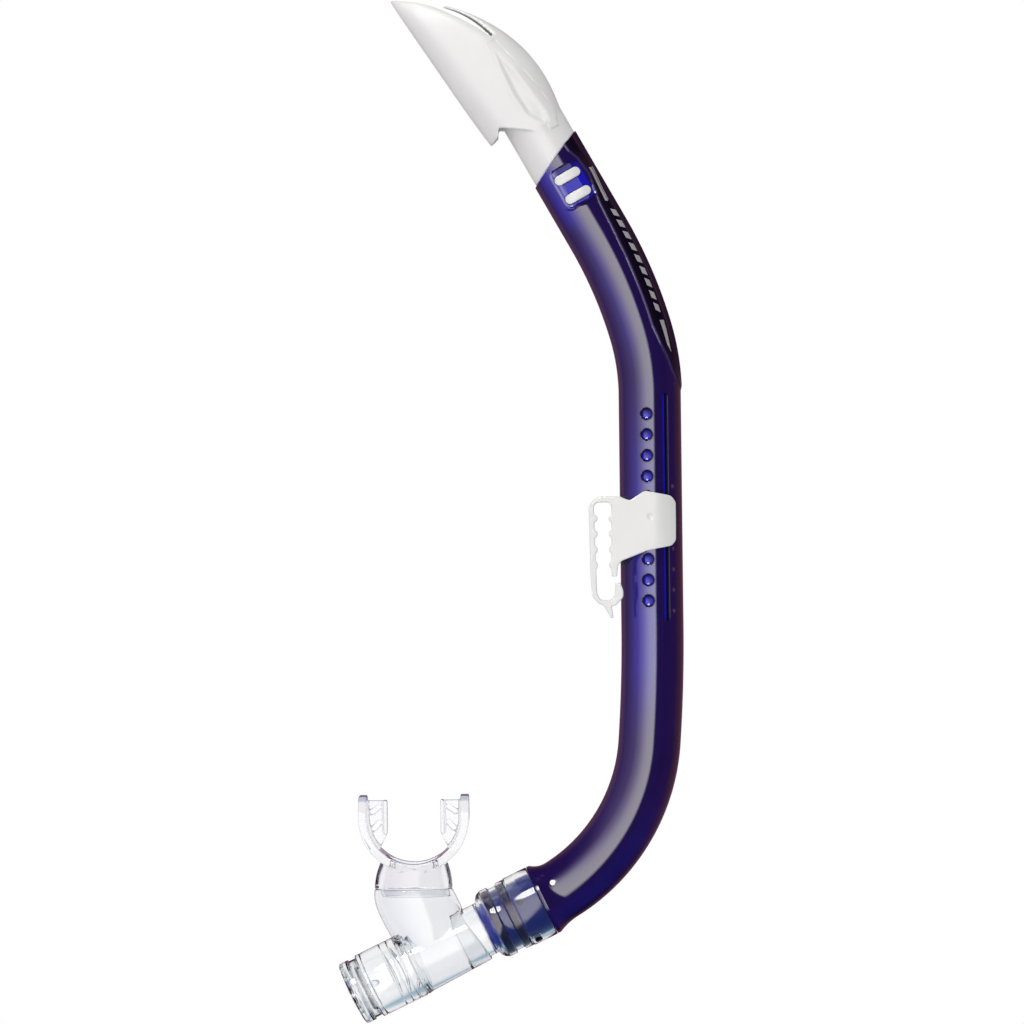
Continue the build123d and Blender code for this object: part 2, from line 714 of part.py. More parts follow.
with BuildPart() as tongue:
    add(fairing.part)
    with BuildSketch(tongue_plane):
        with BuildLine():
            tongue_edge = Spline((TONGUE_ROOT_T, TONGUE_HALF), (70.5, 6.2), (TONGUE_TIP_T, 0.4))
            mirror(tongue_edge, about=Plane.XZ)
            Line((TONGUE_TIP_T, 0.4), (TONGUE_TIP_T, -0.4))
            Line((TONGUE_ROOT_T, TONGUE_HALF), (TONGUE_ROOT_T, -TONGUE_HALF))
        make_face()
    extrude(amount=PAST, mode=Mode.INTERSECT)

# Latch pads: the part of the window slots' run that lies in the barrel's wall
with BuildPart() as latch_pads:
    with BuildSketch(top_plane):
        with Locations(*((t, WINDOW_N) for t in WINDOW_T)):
            SlotOverall(WINDOW_LENGTH - 2 * PAD_GAP, WINDOW_WIDTH - 2 * PAD_GAP, rotation=90)
    extrude(amount=TUBE_R, both=True)
    with BuildSketch(across_top_run(-PLUG_LENGTH)):
        Circle(PAD_R)
        Circle(PAD_ROOT_R, mode=Mode.SUBTRACT)
    extrude(amount=PLUG_LENGTH, mode=Mode.INTERSECT)

with BuildPart() as splash_guard:
    add(fairing.part)
    # Side view: lower edge with its drain notch
    with BuildSketch(top_plane):
        with BuildLine():
            Polyline(
                (-10, -20),
                (120, -20),
                (120, 40),
                (19.2, 40),
                (19.2, 21.1),
                (20.7, 16.7),
                (24.0, 14.6),
                (12.3, -1.6),
                (-10, -1.6),
                close=True,
            )
        make_face()
    extrude(amount=PAST, both=True, mode=Mode.INTERSECT)
    # Open top: everything behind the rim goes
    with BuildSketch(top_plane):
        with BuildLine():
            Spline(RIM_FOOT, (67.3, 1.0), (78.2, 7.9), (85.3, 13.4), (91.4, 20.0), RIM_TIP)
            Polyline(RIM_TIP, (120, 27.0), (120, -30), (TONGUE_ROOT_T, -30), RIM_FOOT)
        make_face()
    extrude(amount=PAST, both=True, mode=Mode.SUBTRACT)
    add(tongue.part)
    # Finger dishes in the sides
    for side in (-1, 1):
        with BuildSketch(top_plane.offset(side * DISH_FLOOR)):
            with BuildLine():
                Spline(
                    DISH_TIP,
                    (38.5, 1.8),
                    (23.0, 1.3),
                    (14.5, -5.0),
                    (20.5, -7.4),
                    (40.5, -4.6),
                    DISH_TIP,
                )
            make_face()
        extrude(amount=side * PAST, mode=Mode.SUBTRACT)
    # Stem
    with BuildSketch(across_top_run(-STEM_START)):
        with Locations((STEM_N, 0)):
            Circle(STEM_OUTER_R)
    extrude(amount=STEM_START + STEM_TOP_T)
    split(bisect_by=seam_plane, keep=Keep.TOP)
    # Plug, with its bore right through the stem
    with BuildSketch(across_top_run(-PLUG_LENGTH)):
        Circle(PLUG_R)
    extrude(amount=PLUG_LENGTH + PLUG_IN_STEM)
    with BuildSketch(across_top_run(-PLUG_LENGTH - OVERLAP)):
        Circle(GUARD_BORE_R)
    extrude(amount=PLUG_LENGTH + STEM_TOP_T + 2 * OVERLAP, mode=Mode.SUBTRACT)
    add(latch_pads.part)
splash_guard.part.label = "splash_guard"

os.makedirs("parts", exist_ok=True)
mouth_pieces = (coupling, swivel_seals, chamber, mouthpiece)
purge_pieces = (purge_housing, purge_seat, purge_valve, purge_cover)
for piece in (barrel, splash_guard, keeper, *mouth_pieces, *purge_pieces):
    export_step(piece.part, f"parts/{piece.part.label}.step")
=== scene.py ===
import json
import math

import bmesh
import bpy
import numpy as np
from mathutils import Matrix, Vector

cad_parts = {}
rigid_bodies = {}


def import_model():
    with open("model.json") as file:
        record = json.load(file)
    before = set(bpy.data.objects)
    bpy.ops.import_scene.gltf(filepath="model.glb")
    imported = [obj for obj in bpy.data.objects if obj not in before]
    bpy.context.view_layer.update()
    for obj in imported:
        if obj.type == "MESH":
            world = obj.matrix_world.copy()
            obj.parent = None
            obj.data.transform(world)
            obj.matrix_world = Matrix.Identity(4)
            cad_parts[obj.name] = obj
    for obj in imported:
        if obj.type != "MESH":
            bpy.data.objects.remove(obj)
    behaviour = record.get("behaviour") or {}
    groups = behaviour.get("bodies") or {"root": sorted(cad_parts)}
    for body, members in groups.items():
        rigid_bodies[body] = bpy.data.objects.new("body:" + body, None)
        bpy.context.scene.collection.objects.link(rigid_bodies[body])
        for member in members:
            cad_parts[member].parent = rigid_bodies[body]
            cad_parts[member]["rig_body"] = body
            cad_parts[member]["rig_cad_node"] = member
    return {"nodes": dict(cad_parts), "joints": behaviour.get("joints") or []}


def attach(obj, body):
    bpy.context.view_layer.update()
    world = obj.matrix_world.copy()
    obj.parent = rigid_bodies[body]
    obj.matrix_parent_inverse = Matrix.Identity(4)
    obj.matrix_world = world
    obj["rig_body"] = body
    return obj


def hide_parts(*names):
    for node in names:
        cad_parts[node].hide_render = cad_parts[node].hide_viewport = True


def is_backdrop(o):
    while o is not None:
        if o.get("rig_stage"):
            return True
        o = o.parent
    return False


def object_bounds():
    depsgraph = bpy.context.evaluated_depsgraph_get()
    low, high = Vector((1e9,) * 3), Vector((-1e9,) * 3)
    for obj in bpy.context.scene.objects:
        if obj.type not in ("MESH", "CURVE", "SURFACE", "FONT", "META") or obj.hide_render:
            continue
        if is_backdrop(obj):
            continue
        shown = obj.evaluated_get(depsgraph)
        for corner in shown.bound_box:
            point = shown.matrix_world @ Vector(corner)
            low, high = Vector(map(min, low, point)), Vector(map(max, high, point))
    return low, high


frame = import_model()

# A J-shaped snorkel, held upright over a pale floor. Lengths below are in millimetres and are turned
# into the frame's metres by MM. The swivel's place and direction and the overall box come from the
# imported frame, and the profiles and curves repeat the CAD's own sizes.

MM = 0.001
cad_low, cad_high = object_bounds()

joints = {joint["name"]: joint for joint in frame["joints"]}
nodes = frame["nodes"]

# ---- places from the frame ----

swivel_foot = Vector(joints["mouthpiece_swivel"]["pos_m"])
swivel_dir = Vector(joints["mouthpiece_swivel"]["axis"]).normalized()
barrel_y = swivel_foot.y

# ---- camera: level, square to the middle plane, with a slight roll ----

FRAME_WIDTH = 450.56 * MM
LENS = 200.0
SENSOR = 36.0
ROLL = math.radians(0.68)
AIM_OFFSET = Vector((1.8, 0, -0.7)) * MM

box_centre = (cad_low + cad_high) / 2
aim = Vector((box_centre.x, barrel_y, box_centre.z)) + AIM_OFFSET
camera_data = bpy.data.cameras.new("camera")
camera_data.lens = LENS
camera_data.sensor_width = SENSOR
camera = bpy.data.objects.new("camera", camera_data)
camera.location = aim - Vector((0, FRAME_WIDTH * LENS / SENSOR, 0))
turn = Matrix.Rotation(ROLL, 3, "Y") @ Matrix.Rotation(math.pi / 2, 3, "X")
camera.rotation_euler = turn.to_euler()
bpy.context.scene.collection.objects.link(camera)
bpy.context.scene.camera = camera


# ---- node helpers ----


def add(tree, kind, **values):
    """A shader node of that kind, with its properties and unlinked inputs set by name."""
    node = tree.nodes.new(kind)
    for key, value in values.items():
        if hasattr(node, key) and key not in node.inputs:
            setattr(node, key, value)
        else:
            node.inputs[key].default_value = value
    return node


def ramp(tree, stops):
    """A colour ramp with stops of (position, (r, g, b))."""
    node = tree.nodes.new("ShaderNodeValToRGB")
    elements = node.color_ramp.elements
    while len(elements) > 1:
        elements.remove(elements[-1])
    for i, (position, colour) in enumerate(stops):
        element = elements[0] if i == 0 else elements.new(position)
        element.position = position
        element.color = (*colour, 1)
    return node


def remap(tree, value, source, target, kind="LINEAR"):
    """A value brought from the source range to the target range."""
    node = add(tree, "ShaderNodeMapRange", interpolation_type=kind)
    for socket, end in zip(("From Min", "From Max", "To Min", "To Max"), (*source, *target)):
        node.inputs[socket].default_value = end
    tree.links.new(value, node.inputs["Value"])
    return node.outputs["Result"]


def noise(tree, coords, scale, detail):
    """Noise over the object's own coordinates."""
    node = add(tree, "ShaderNodeTexNoise", Scale=scale, Detail=detail)
    tree.links.new(coords.outputs["Object"], node.inputs["Vector"])
    return node.outputs["Fac"]


# ---- studio: a softbox wall to the left of the camera, dark to its right ----

# Bearings are degrees to the left of the camera's direction from the object, with the strength there
SOFTBOX = (
    (-180, (0.20, 0.08, 0.16)),
    (-150, (0.30, 0.12, 0.20)),
    (-100, (0.12, 0.04, 0.12)),
    (-50, (0.01, 0.01, 0.03)),
    (-16, (0.02, 0.02, 0.04)),
    (-9, (5.5, 5.4, 5.2)),
    (12, (4.9, 4.7, 4.8)),
    (24, (3.7, 3.4, 3.9)),
    (36, (2.4, 2.1, 2.8)),
    (57, (1.0, 0.8, 1.3)),
    (85, (0.55, 0.4, 0.8)),
    (112, (0.25, 0.16, 0.35)),
    (125, (0.35, 0.2, 0.32)),
    (150, (0.22, 0.1, 0.2)),
    (180, (0.20, 0.08, 0.16)),
)
FILL = (
    (-180, (0.55, 0.55, 0.57)),
    (-120, (0.36, 0.36, 0.38)),
    (-70, (0.34, 0.34, 0.35)),
    (-20, (0.92, 0.92, 0.92)),
    (15, (1.15, 1.15, 1.15)),
    (70, (0.98, 0.96, 0.95)),
    (120, (0.52, 0.50, 0.49)),
    (180, (0.55, 0.55, 0.57)),
)
BRIGHTEST = 6.0
# What clear pieces bend into view: white behind the object, greyer to the sides, blue-grey from below
BEHIND = (
    (0.0, (0.50, 0.53, 0.59)),
    (0.45, (0.60, 0.63, 0.69)),
    (0.62, (0.78, 0.80, 0.84)),
    (0.80, (0.97, 0.965, 0.975)),
    (1.0, (1.0, 1.0, 1.0)),
)
BELOW = (
    (0.0, (0.30, 0.44, 0.54)),
    (0.2, (0.42, 0.56, 0.66)),
    (0.34, (0.95, 0.96, 0.97)),
    (0.5, (1.0, 1.0, 1.0)),
)
SPOT_BEARING = math.radians(16)
SPOT_HEIGHT = math.radians(42)
SPOT_SIZE = (math.radians(12), math.radians(7))
SPOT_STRENGTH = 24.0
# The wall fades out between these heights, as sines of the angle up or down
WALL_FADE = (0.36, 0.8)


def bearing_ramp(tree, bearing, stops):
    """A ramp over the bearing, with its colours held below one and scaled back by the background."""
    scaled = [((angle + 180) / 360, tuple(c / BRIGHTEST for c in colour)) for angle, colour in stops]
    node = ramp(tree, scaled)
    tree.links.new(bearing, node.inputs["Fac"])
    return node.outputs["Color"]


def half_up(tree, value):
    """A value from -1 to 1 brought to 0 to 1."""
    node = add(tree, "ShaderNodeMath", operation="MULTIPLY_ADD")
    node.inputs[1].default_value = 0.5
    node.inputs[2].default_value = 0.5
    tree.links.new(value, node.inputs[0])
    return node.outputs[0]


def make_world():
    """White to the camera, the studio to glossy and diffuse rays, and a soft field through clear pieces."""
    world = bpy.data.worlds.new("studio")
    world.use_nodes = True
    tree = world.node_tree
    tree.nodes.clear()
    link = tree.links.new
    coords = tree.nodes.new("ShaderNodeTexCoord")
    split = tree.nodes.new("ShaderNodeSeparateXYZ")
    link(coords.outputs["Generated"], split.inputs[0])
    turned = add(tree, "ShaderNodeVectorMath", operation="SCALE", Scale=-1.0)
    link(coords.outputs["Generated"], turned.inputs[0])
    ahead = tree.nodes.new("ShaderNodeSeparateXYZ")
    link(turned.outputs[0], ahead.inputs[0])
    angle = add(tree, "ShaderNodeMath", operation="ARCTAN2")
    link(ahead.outputs["X"], angle.inputs[0])
    link(ahead.outputs["Y"], angle.inputs[1])
    share = add(tree, "ShaderNodeMath", operation="MULTIPLY_ADD")
    share.inputs[1].default_value = 1 / math.tau
    share.inputs[2].default_value = 0.5
    link(angle.outputs[0], share.inputs[0])
    # Glossy rays: the softbox wall, low in height, and a small spot above it
    height = add(tree, "ShaderNodeMath", operation="ABSOLUTE")
    link(split.outputs["Z"], height.inputs[0])
    wall = add(tree, "ShaderNodeVectorMath", operation="SCALE")
    link(bearing_ramp(tree, share.outputs[0], SOFTBOX), wall.inputs[0])
    link(remap(tree, height.outputs[0], WALL_FADE, (1, 0), "SMOOTHSTEP"), wall.inputs["Scale"])
    towards = add(tree, "ShaderNodeVectorMath", operation="DOT_PRODUCT")
    towards.inputs[1].default_value = (
        -math.sin(SPOT_BEARING) * math.cos(SPOT_HEIGHT),
        -math.cos(SPOT_BEARING) * math.cos(SPOT_HEIGHT),
        math.sin(SPOT_HEIGHT),
    )
    link(coords.outputs["Generated"], towards.inputs[0])
    edge = [math.cos(size) for size in SPOT_SIZE]
    spot = remap(tree, towards.outputs["Value"], edge, (0, SPOT_STRENGTH / BRIGHTEST), "SMOOTHSTEP")
    both = add(tree, "ShaderNodeVectorMath", operation="ADD")
    link(wall.outputs[0], both.inputs[0])
    link(spot, both.inputs[1])
    glossy = add(tree, "ShaderNodeBackground", Strength=BRIGHTEST)
    link(both.outputs[0], glossy.inputs["Color"])
    diffuse = add(tree, "ShaderNodeBackground", Strength=BRIGHTEST)
    link(bearing_ramp(tree, share.outputs[0], FILL), diffuse.inputs["Color"])
    # Rays bent by clear pieces
    behind = ramp(tree, BEHIND)
    link(half_up(tree, split.outputs["Y"]), behind.inputs["Fac"])
    below = ramp(tree, BELOW)
    link(half_up(tree, split.outputs["Z"]), below.inputs["Fac"])
    bent = add(tree, "ShaderNodeVectorMath", operation="MULTIPLY")
    link(behind.outputs["Color"], bent.inputs[0])
    link(below.outputs["Color"], bent.inputs[1])
    through = add(tree, "ShaderNodeBackground", Strength=1.0)
    link(bent.outputs[0], through.inputs["Color"])
    white = add(tree, "ShaderNodeBackground", Color=(1, 1, 1, 1), Strength=1.0)
    path = tree.nodes.new("ShaderNodeLightPath")
    shader = diffuse.outputs[0]
    for ray, light in (("Is Glossy Ray", glossy), ("Is Transmission Ray", through), ("Is Camera Ray", white)):
        either = tree.nodes.new("ShaderNodeMixShader")
        link(path.outputs[ray], either.inputs[0])
        link(shader, either.inputs[1])
        link(light.outputs[0], either.inputs[2])
        shader = either.outputs[0]
    out = tree.nodes.new("ShaderNodeOutputWorld")
    link(shader, out.inputs["Surface"])
    bpy.context.scene.world = world


OVERHEAD_OFFSET = (-0.3, -0.2)
OVERHEAD_Z = 1.7
OVERHEAD_SIZE = 1.6
OVERHEAD_POWER = 8.0


def make_overhead():
    """A square soft light above the object, turned to it, and hidden from the camera and from gloss."""
    data = bpy.data.lights.new("overhead", "AREA")
    data.size = OVERHEAD_SIZE
    data.energy = OVERHEAD_POWER
    light = bpy.data.objects.new("overhead", data)
    place = (box_centre.x + OVERHEAD_OFFSET[0], box_centre.y + OVERHEAD_OFFSET[1], OVERHEAD_Z)
    light.location = place
    light.rotation_euler = (box_centre - Vector(place)).to_track_quat("-Z", "Y").to_euler()
    light.visible_camera = False
    light.visible_glossy = False
    bpy.context.scene.collection.objects.link(light)


FLOOR_DROP = 0.45
FLOOR_RADIUS = 3.2
FLOOR_GREY = (0.9, 0.9, 0.9, 1)
FLOOR_ROUGHNESS = 0.9
FLOOR_SHINE = 0.1


def make_floor():
    """A pale round floor well below the object, which only the camera and soft light see."""
    mesh = bpy.data.meshes.new("floor")
    bm = bmesh.new()
    bmesh.ops.create_circle(bm, cap_ends=True, segments=96, radius=FLOOR_RADIUS)
    bm.to_mesh(mesh)
    bm.free()
    floor = bpy.data.objects.new("floor", mesh)
    floor.location = (box_centre.x, box_centre.y, cad_low.z - FLOOR_DROP)
    bpy.context.scene.collection.objects.link(floor)
    pale = bpy.data.materials.new("pale_floor")
    pale.use_nodes = True
    shader = pale.node_tree.nodes["Principled BSDF"]
    shader.inputs["Base Color"].default_value = FLOOR_GREY
    shader.inputs["Roughness"].default_value = FLOOR_ROUGHNESS
    shader.inputs["Specular IOR Level"].default_value = FLOOR_SHINE
    mesh.materials.append(pale)
    floor.visible_glossy = False
    floor.visible_transmission = False
    floor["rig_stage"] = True


make_world()
make_floor()
make_overhead()
bpy.context.scene.view_settings.view_transform = "Standard"


# ---- materials ----

CLOUD_SCALE = 60.0
CLOUD_RANGE = (0.3, 0.7)
ROUGHNESS_SPREAD = (0.8, 1.25)
RELIEF_STRENGTH = 0.6


def surface(name, colour, roughness, grain, grain_depth, mottle=0.0, **sockets):
    """A Principled material with its colour and roughness varied a little by noise, and fine relief."""
    made = bpy.data.materials.new(name)
    made.use_nodes = True
    tree = made.node_tree
    shader = tree.nodes["Principled BSDF"]
    shader.inputs["Base Color"].default_value = (*colour, 1)
    shader.inputs["Roughness"].default_value = roughness
    for key, value in sockets.items():
        shader.inputs[key.replace("_", " ")].default_value = value
    coords = tree.nodes.new("ShaderNodeTexCoord")
    cloud = noise(tree, coords, CLOUD_SCALE, 4.0)
    spread = remap(tree, cloud, CLOUD_RANGE, [roughness * share for share in ROUGHNESS_SPREAD])
    tree.links.new(spread, shader.inputs["Roughness"])
    if mottle:
        darker = tuple(c * (1 - mottle) for c in colour)
        tint = ramp(tree, [(CLOUD_RANGE[0], darker), (CLOUD_RANGE[1], colour)])
        tree.links.new(cloud, tint.inputs["Fac"])
        tree.links.new(tint.outputs["Color"], shader.inputs["Base Color"])
    relief = add(tree, "ShaderNodeBump", Strength=RELIEF_STRENGTH, Distance=grain_depth)
    tree.links.new(noise(tree, coords, grain, 3.0), relief.inputs["Height"])
    tree.links.new(relief.outputs["Normal"], shader.inputs["Normal"])
    return made


DEEP_BLUE = (0.016, 0.006, 0.075)
BARREL_CLOUD_SCALE = 120.0
BARREL_DEPTH = (0.8, 1.2)


def barrel_plastic():
    """Glossy tinted plastic, its colour, with painted glow, shade and highlights, and its shine painted on
    the points (attributes tint and polish).
    """
    made = surface("barrel_plastic", DEEP_BLUE, 0.07, 900.0, 0.003 * MM, IOR=1.58)
    tree = made.node_tree
    shader = tree.nodes["Principled BSDF"]
    tint = add(tree, "ShaderNodeAttribute", attribute_name="tint")
    polish = add(tree, "ShaderNodeAttribute", attribute_name="polish")
    coords = next(n for n in tree.nodes if n.type == "TEX_COORD")
    depth = remap(tree, noise(tree, coords, BARREL_CLOUD_SCALE, 5.0), (0, 1), BARREL_DEPTH)
    varied = add(tree, "ShaderNodeVectorMath", operation="SCALE")
    tree.links.new(tint.outputs["Color"], varied.inputs[0])
    tree.links.new(depth, varied.inputs["Scale"])
    tree.links.new(varied.outputs[0], shader.inputs["Base Color"])
    tree.links.new(polish.outputs["Fac"], shader.inputs["Specular IOR Level"])
    return made


CLEAR_GRAIN = 250.0
CLEAR_RELIEF = 0.004 * MM
CLEAR_MOTTLE = 0.03


def glass(name, tint, roughness, ior):
    """Clear moulded plastic or silicone that bends what is seen through it."""
    sockets = {"IOR": ior, "Transmission_Weight": 1.0}
    return surface(name, tint, roughness, CLEAR_GRAIN, CLEAR_RELIEF, CLEAR_MOTTLE, **sockets)


blue_plastic = barrel_plastic()
white_plastic = surface("white_plastic", (0.84, 0.84, 0.83), 0.38, 2200.0, 0.01 * MM, mottle=0.03)
silver_ink = surface("silver_ink", (0.42, 0.425, 0.435), 0.45, 3000.0, 0.004 * MM, mottle=0.12)
peg_plastic = surface("peg_plastic", (0.008, 0.009, 0.08), 0.3, 800.0, 0.01 * MM, mottle=0.15)
seal_rubber = surface(
    "seal_rubber", (0.015, 0.011, 0.11), 0.45, 800.0, 0.01 * MM, mottle=0.15, Specular_IOR_Level=0.1
)
clear_plastic = glass("clear_plastic", (0.975, 0.98, 0.985), 0.02, 1.47)
clear_silicone = glass("clear_silicone", (0.95, 0.955, 0.965), 0.04, 1.41)
bite_silicone = glass("bite_silicone", (0.925, 0.918, 0.935), 0.08, 1.32)
valve_silicone = glass("valve_silicone", (0.88, 0.9, 0.95), 0.2, 1.41)


# ---- mesh helpers ----

SMOOTH_ANGLE = 35.0
FLAT_ANGLE = 50.0
CORNER_SHARE = 0.4
CORNER_STEPS = (0, 0.33, 0.67, 1)
LATHE_TURNS = 144


def make_object(name, points, faces, material, smooth_angle=SMOOTH_ANGLE):
    """A mesh object from points in millimetres, smooth but for edges sharper than the angle."""
    mesh = bpy.data.meshes.new(name)
    mesh.from_pydata((np.asarray(points) * MM).tolist(), [], faces)
    mesh.validate()
    bm = bmesh.new()
    bm.from_mesh(mesh)
    bmesh.ops.recalc_face_normals(bm, faces=bm.faces)
    bm.to_mesh(mesh)
    bm.free()
    mesh.shade_smooth()
    mesh.set_sharp_from_angle(angle=math.radians(smooth_angle))
    mesh.materials.append(material)
    made = bpy.data.objects.new(name, mesh)
    bpy.context.scene.collection.objects.link(made)
    return made


def ring_faces(rows, columns, closed=True):
    """Quads between rows of points that go round, the last row joined to the first if closed."""
    faces = []
    for i in range(rows if closed else rows - 1):
        a, b = i * columns, ((i + 1) % rows) * columns
        faces += [(a + j, a + (j + 1) % columns, b + (j + 1) % columns, b + j) for j in range(columns)]
    return faces


def capped(rows, columns):
    """Quads between rows of points that go round, and a flat face over each end."""
    last = (rows - 1) * columns
    ends = [tuple(range(columns)), tuple(range(last, last + columns))]
    return ring_faces(rows, columns, closed=False) + ends


def baked(made):
    """The object's mesh with its modifiers applied."""
    graph = bpy.context.evaluated_depsgraph_get()
    final = bpy.data.meshes.new_from_object(made.evaluated_get(graph))
    made.modifiers.clear()
    made.data = final
    return made


def melt(made, voxel, rounds):
    """Close up what overlaps in a mesh, and round its edges and corners as a mould leaves them."""
    remesh = made.modifiers.new("voxels", "REMESH")
    remesh.mode = "VOXEL"
    remesh.voxel_size = voxel * MM
    remesh.use_smooth_shade = True
    smooth = made.modifiers.new("smooth", "SMOOTH")
    smooth.factor = 0.5
    smooth.iterations = rounds
    return baked(made)


def cut_out(made, cutter):
    """Take the cutter's space out of the object, and the cutter out of the scene."""
    boolean = made.modifiers.new("cut", "BOOLEAN")
    boolean.operation = "DIFFERENCE"
    boolean.solver = "MANIFOLD"
    boolean.object = cutter
    baked(made)
    bpy.data.objects.remove(cutter)
    return made


def joined(name, *parts):
    """One object from several, which go."""
    bm = bmesh.new()
    for part in parts:
        bm.from_mesh(part.data)
        bpy.data.objects.remove(part)
    mesh = bpy.data.meshes.new(name)
    bm.to_mesh(mesh)
    bm.free()
    made = bpy.data.objects.new(name, mesh)
    bpy.context.scene.collection.objects.link(made)
    return made


def claim(made, node, body, material=None):
    """Stand a piece in for its CAD node, on its body and with its material."""
    if material:
        made.data.materials.clear()
        made.data.materials.append(material)
        made.data.shade_smooth()
    if node:
        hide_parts(node)
    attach(made, body)
    return made


def eased(profile, radius):
    """A closed outline with each corner rounded by a short curve."""
    points = [np.array(p, float) for p in profile]
    out = []
    for before, corner, after in zip(points[-1:] + points[:-1], points, points[1:] + points[:1]):
        reach_in = min(radius, CORNER_SHARE * np.linalg.norm(corner - before))
        reach_out = min(radius, CORNER_SHARE * np.linalg.norm(after - corner))
        start = corner + (before - corner) / max(np.linalg.norm(before - corner), 1e-9) * reach_in
        end = corner + (after - corner) / max(np.linalg.norm(after - corner), 1e-9) * reach_out
        for u in CORNER_STEPS:
            out.append((1 - u) ** 2 * start + 2 * u * (1 - u) * corner + u * u * end)
    return out


SWIVEL_UP = Vector((0, 1, 0)).cross(swivel_dir).normalized()


def about_swivel(w, r, phi):
    """A point w along the swivel axis, at radius r and angle phi from the camera's side up."""
    foot = np.array(swivel_foot) / MM + np.array(swivel_dir) * w
    return foot + r * (math.cos(phi) * np.array((0, -1, 0)) + math.sin(phi) * np.array(SWIVEL_UP))


def lathe(name, profile, material, radius):
    """A turned solid about the swivel axis from its closed outline of (w, r), its corners rounded."""
    rows = eased(profile, radius)
    angles = [math.tau * j / LATHE_TURNS for j in range(LATHE_TURNS)]
    points = [about_swivel(w, max(r, 0.0), phi) for w, r in rows for phi in angles]
    return make_object(name, points, ring_faces(len(rows), LATHE_TURNS), material)


def filled_lathe(name, profile, material, radius, segments=LATHE_TURNS):
    """A turned solid whose outline starts and ends on the axis, at points that stay sharp."""
    rows = [np.array(p, float) for p in profile]
    skip = len(CORNER_STEPS)
    rows = [rows[0], *eased(profile, radius)[skip:-skip], rows[-1]]
    angles = [math.tau * j / segments for j in range(segments)]
    points = [about_swivel(w, r, phi) for w, r in rows[1:-1] for phi in angles]
    faces = ring_faces(len(rows) - 2, segments, closed=False)
    last = len(points)
    points += [about_swivel(rows[0][0], 0, 0), about_swivel(rows[-1][0], 0, 0)]
    end = (len(rows) - 3) * segments
    faces += [(last, (j + 1) % segments, j) for j in range(segments)]
    faces += [(last + 1, end + j, end + (j + 1) % segments) for j in range(segments)]
    return make_object(name, points, faces, material)


def soften(node, name, voxel, rounds, material, body):
    """A copy of a CAD node with its edges and corners rounded as a mould leaves them."""
    made = nodes[node].copy()
    made.data = nodes[node].data.copy()
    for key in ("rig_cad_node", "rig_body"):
        if key in made:
            del made[key]
    made.name = name
    made.parent = None
    bpy.context.scene.collection.objects.link(made)
    return claim(melt(made, voxel, rounds), node, body, material)


# ---- barrel ----

TUBE_R = 13.7
BORE_R = 11.9
FOOT_RUN = 1.6
STRAIGHT = 102.4
TOP_RUN = 37.5
SEAM_SLANT = math.radians(25.2)


def bend(radius, degrees):
    """Length and turn of a bend."""
    return radius * math.radians(degrees), math.radians(degrees)


# Runs up the centreline from the flared face: length and turn
RUNS = (
    (FOOT_RUN, 0.0),
    bend(82.7, 59.95),
    bend(667.0, 4.33),
    (STRAIGHT, 0.0),
    bend(103.0, 16.3),
    bend(200.0, 13.2),
)
SEAM_S = sum(length for length, turn in RUNS) + TOP_RUN
STRAIGHT_FOOT_S = sum(length for length, turn in RUNS[:3])


def centreline(s):
    """x, z and lean of the barrel's centreline at distances s up from the flared face, in millimetres."""
    s = np.asarray(s, float)
    x, z = swivel_foot.x / MM, swivel_foot.z / MM
    lean = math.atan2(swivel_dir.x, -swivel_dir.z)
    out_x = x - math.sin(lean) * s
    out_z = z + math.cos(lean) * s
    out_lean = np.full(s.shape, lean)
    start = 0.0
    for length, turned in (*RUNS, (1e3, 0.0)):
        here = s >= start
        d = s[here] - start
        if turned:
            radius = length / turned
            now = lean + d / radius
            out_x[here] = x + radius * (np.cos(now) - math.cos(lean))
            out_z[here] = z + radius * (np.sin(now) - math.sin(lean))
            out_lean[here] = now
            x += radius * (math.cos(lean + turned) - math.cos(lean))
            z += radius * (math.sin(lean + turned) - math.sin(lean))
            lean += turned
        else:
            out_x[here] = x - math.sin(lean) * d
            out_z[here] = z + math.cos(lean) * d
            out_lean[here] = lean
            x -= math.sin(lean) * length
            z += math.cos(lean) * length
        start += length
    return out_x, out_z, out_lean


def tube_points(s, phi, r):
    """Points at distance s up the centreline, angle phi from the front round by the near side, radius r."""
    x, z, lean = centreline(s)
    front = r * np.cos(phi)
    return np.stack([x - front * np.cos(lean), barrel_y / MM - r * np.sin(phi), z - front * np.sin(lean)], -1)


# Features lie the same on the near and far side, by s and by the arc a from the side's middle to the front
DIMPLE_COUNT = 10
DIMPLE_PITCH = 9.09
DIMPLE_TOP_Z = 59.9
DIMPLE_N = 1.9
DIMPLE_R = 2.8
DIMPLE_BALL_R = 4.5
GROOVE_N = -6.4
GROOVE_ENDS_Z = (-31.0, 69.0)
GROOVE_R = 1.5
GROOVE_DEPTH = 0.8
WINDOW_T = (-9.5, -18.9)
WINDOW_N = -0.7
WINDOW_HALF = 4.1
WINDOW_R = 2.25
WINDOW_DEPTH = 1.75
POCKET_T = (-22.7, -4.2)
POCKET_N = (-8.2, 6.4)
POCKET_CORNER = 3.2
POCKET_R = 13.35
POCKET_FLOOR = 12.55
LIP_HEIGHT = 0.35
FLARE_R = 16.1
FLARE_TOP_S = 9.8
FLARE_EDGE_S = 1.4

straight_foot_z = float(centreline([STRAIGHT_FOOT_S])[1][0])


def s_of_z(z):
    """Distance up the centreline of a height on the straight stretch."""
    return STRAIGHT_FOOT_S + z - straight_foot_z


def arc_of(n):
    """Arc from the side's middle for a reach n to the front."""
    return TUBE_R * np.arcsin(np.clip(np.asarray(n, float) / TUBE_R, -1, 1))


def step(x, low, high):
    """0 below low, 1 above high, smooth between."""
    u = np.clip((x - low) / (high - low), 0, 1)
    return u * u * (3 - 2 * u)


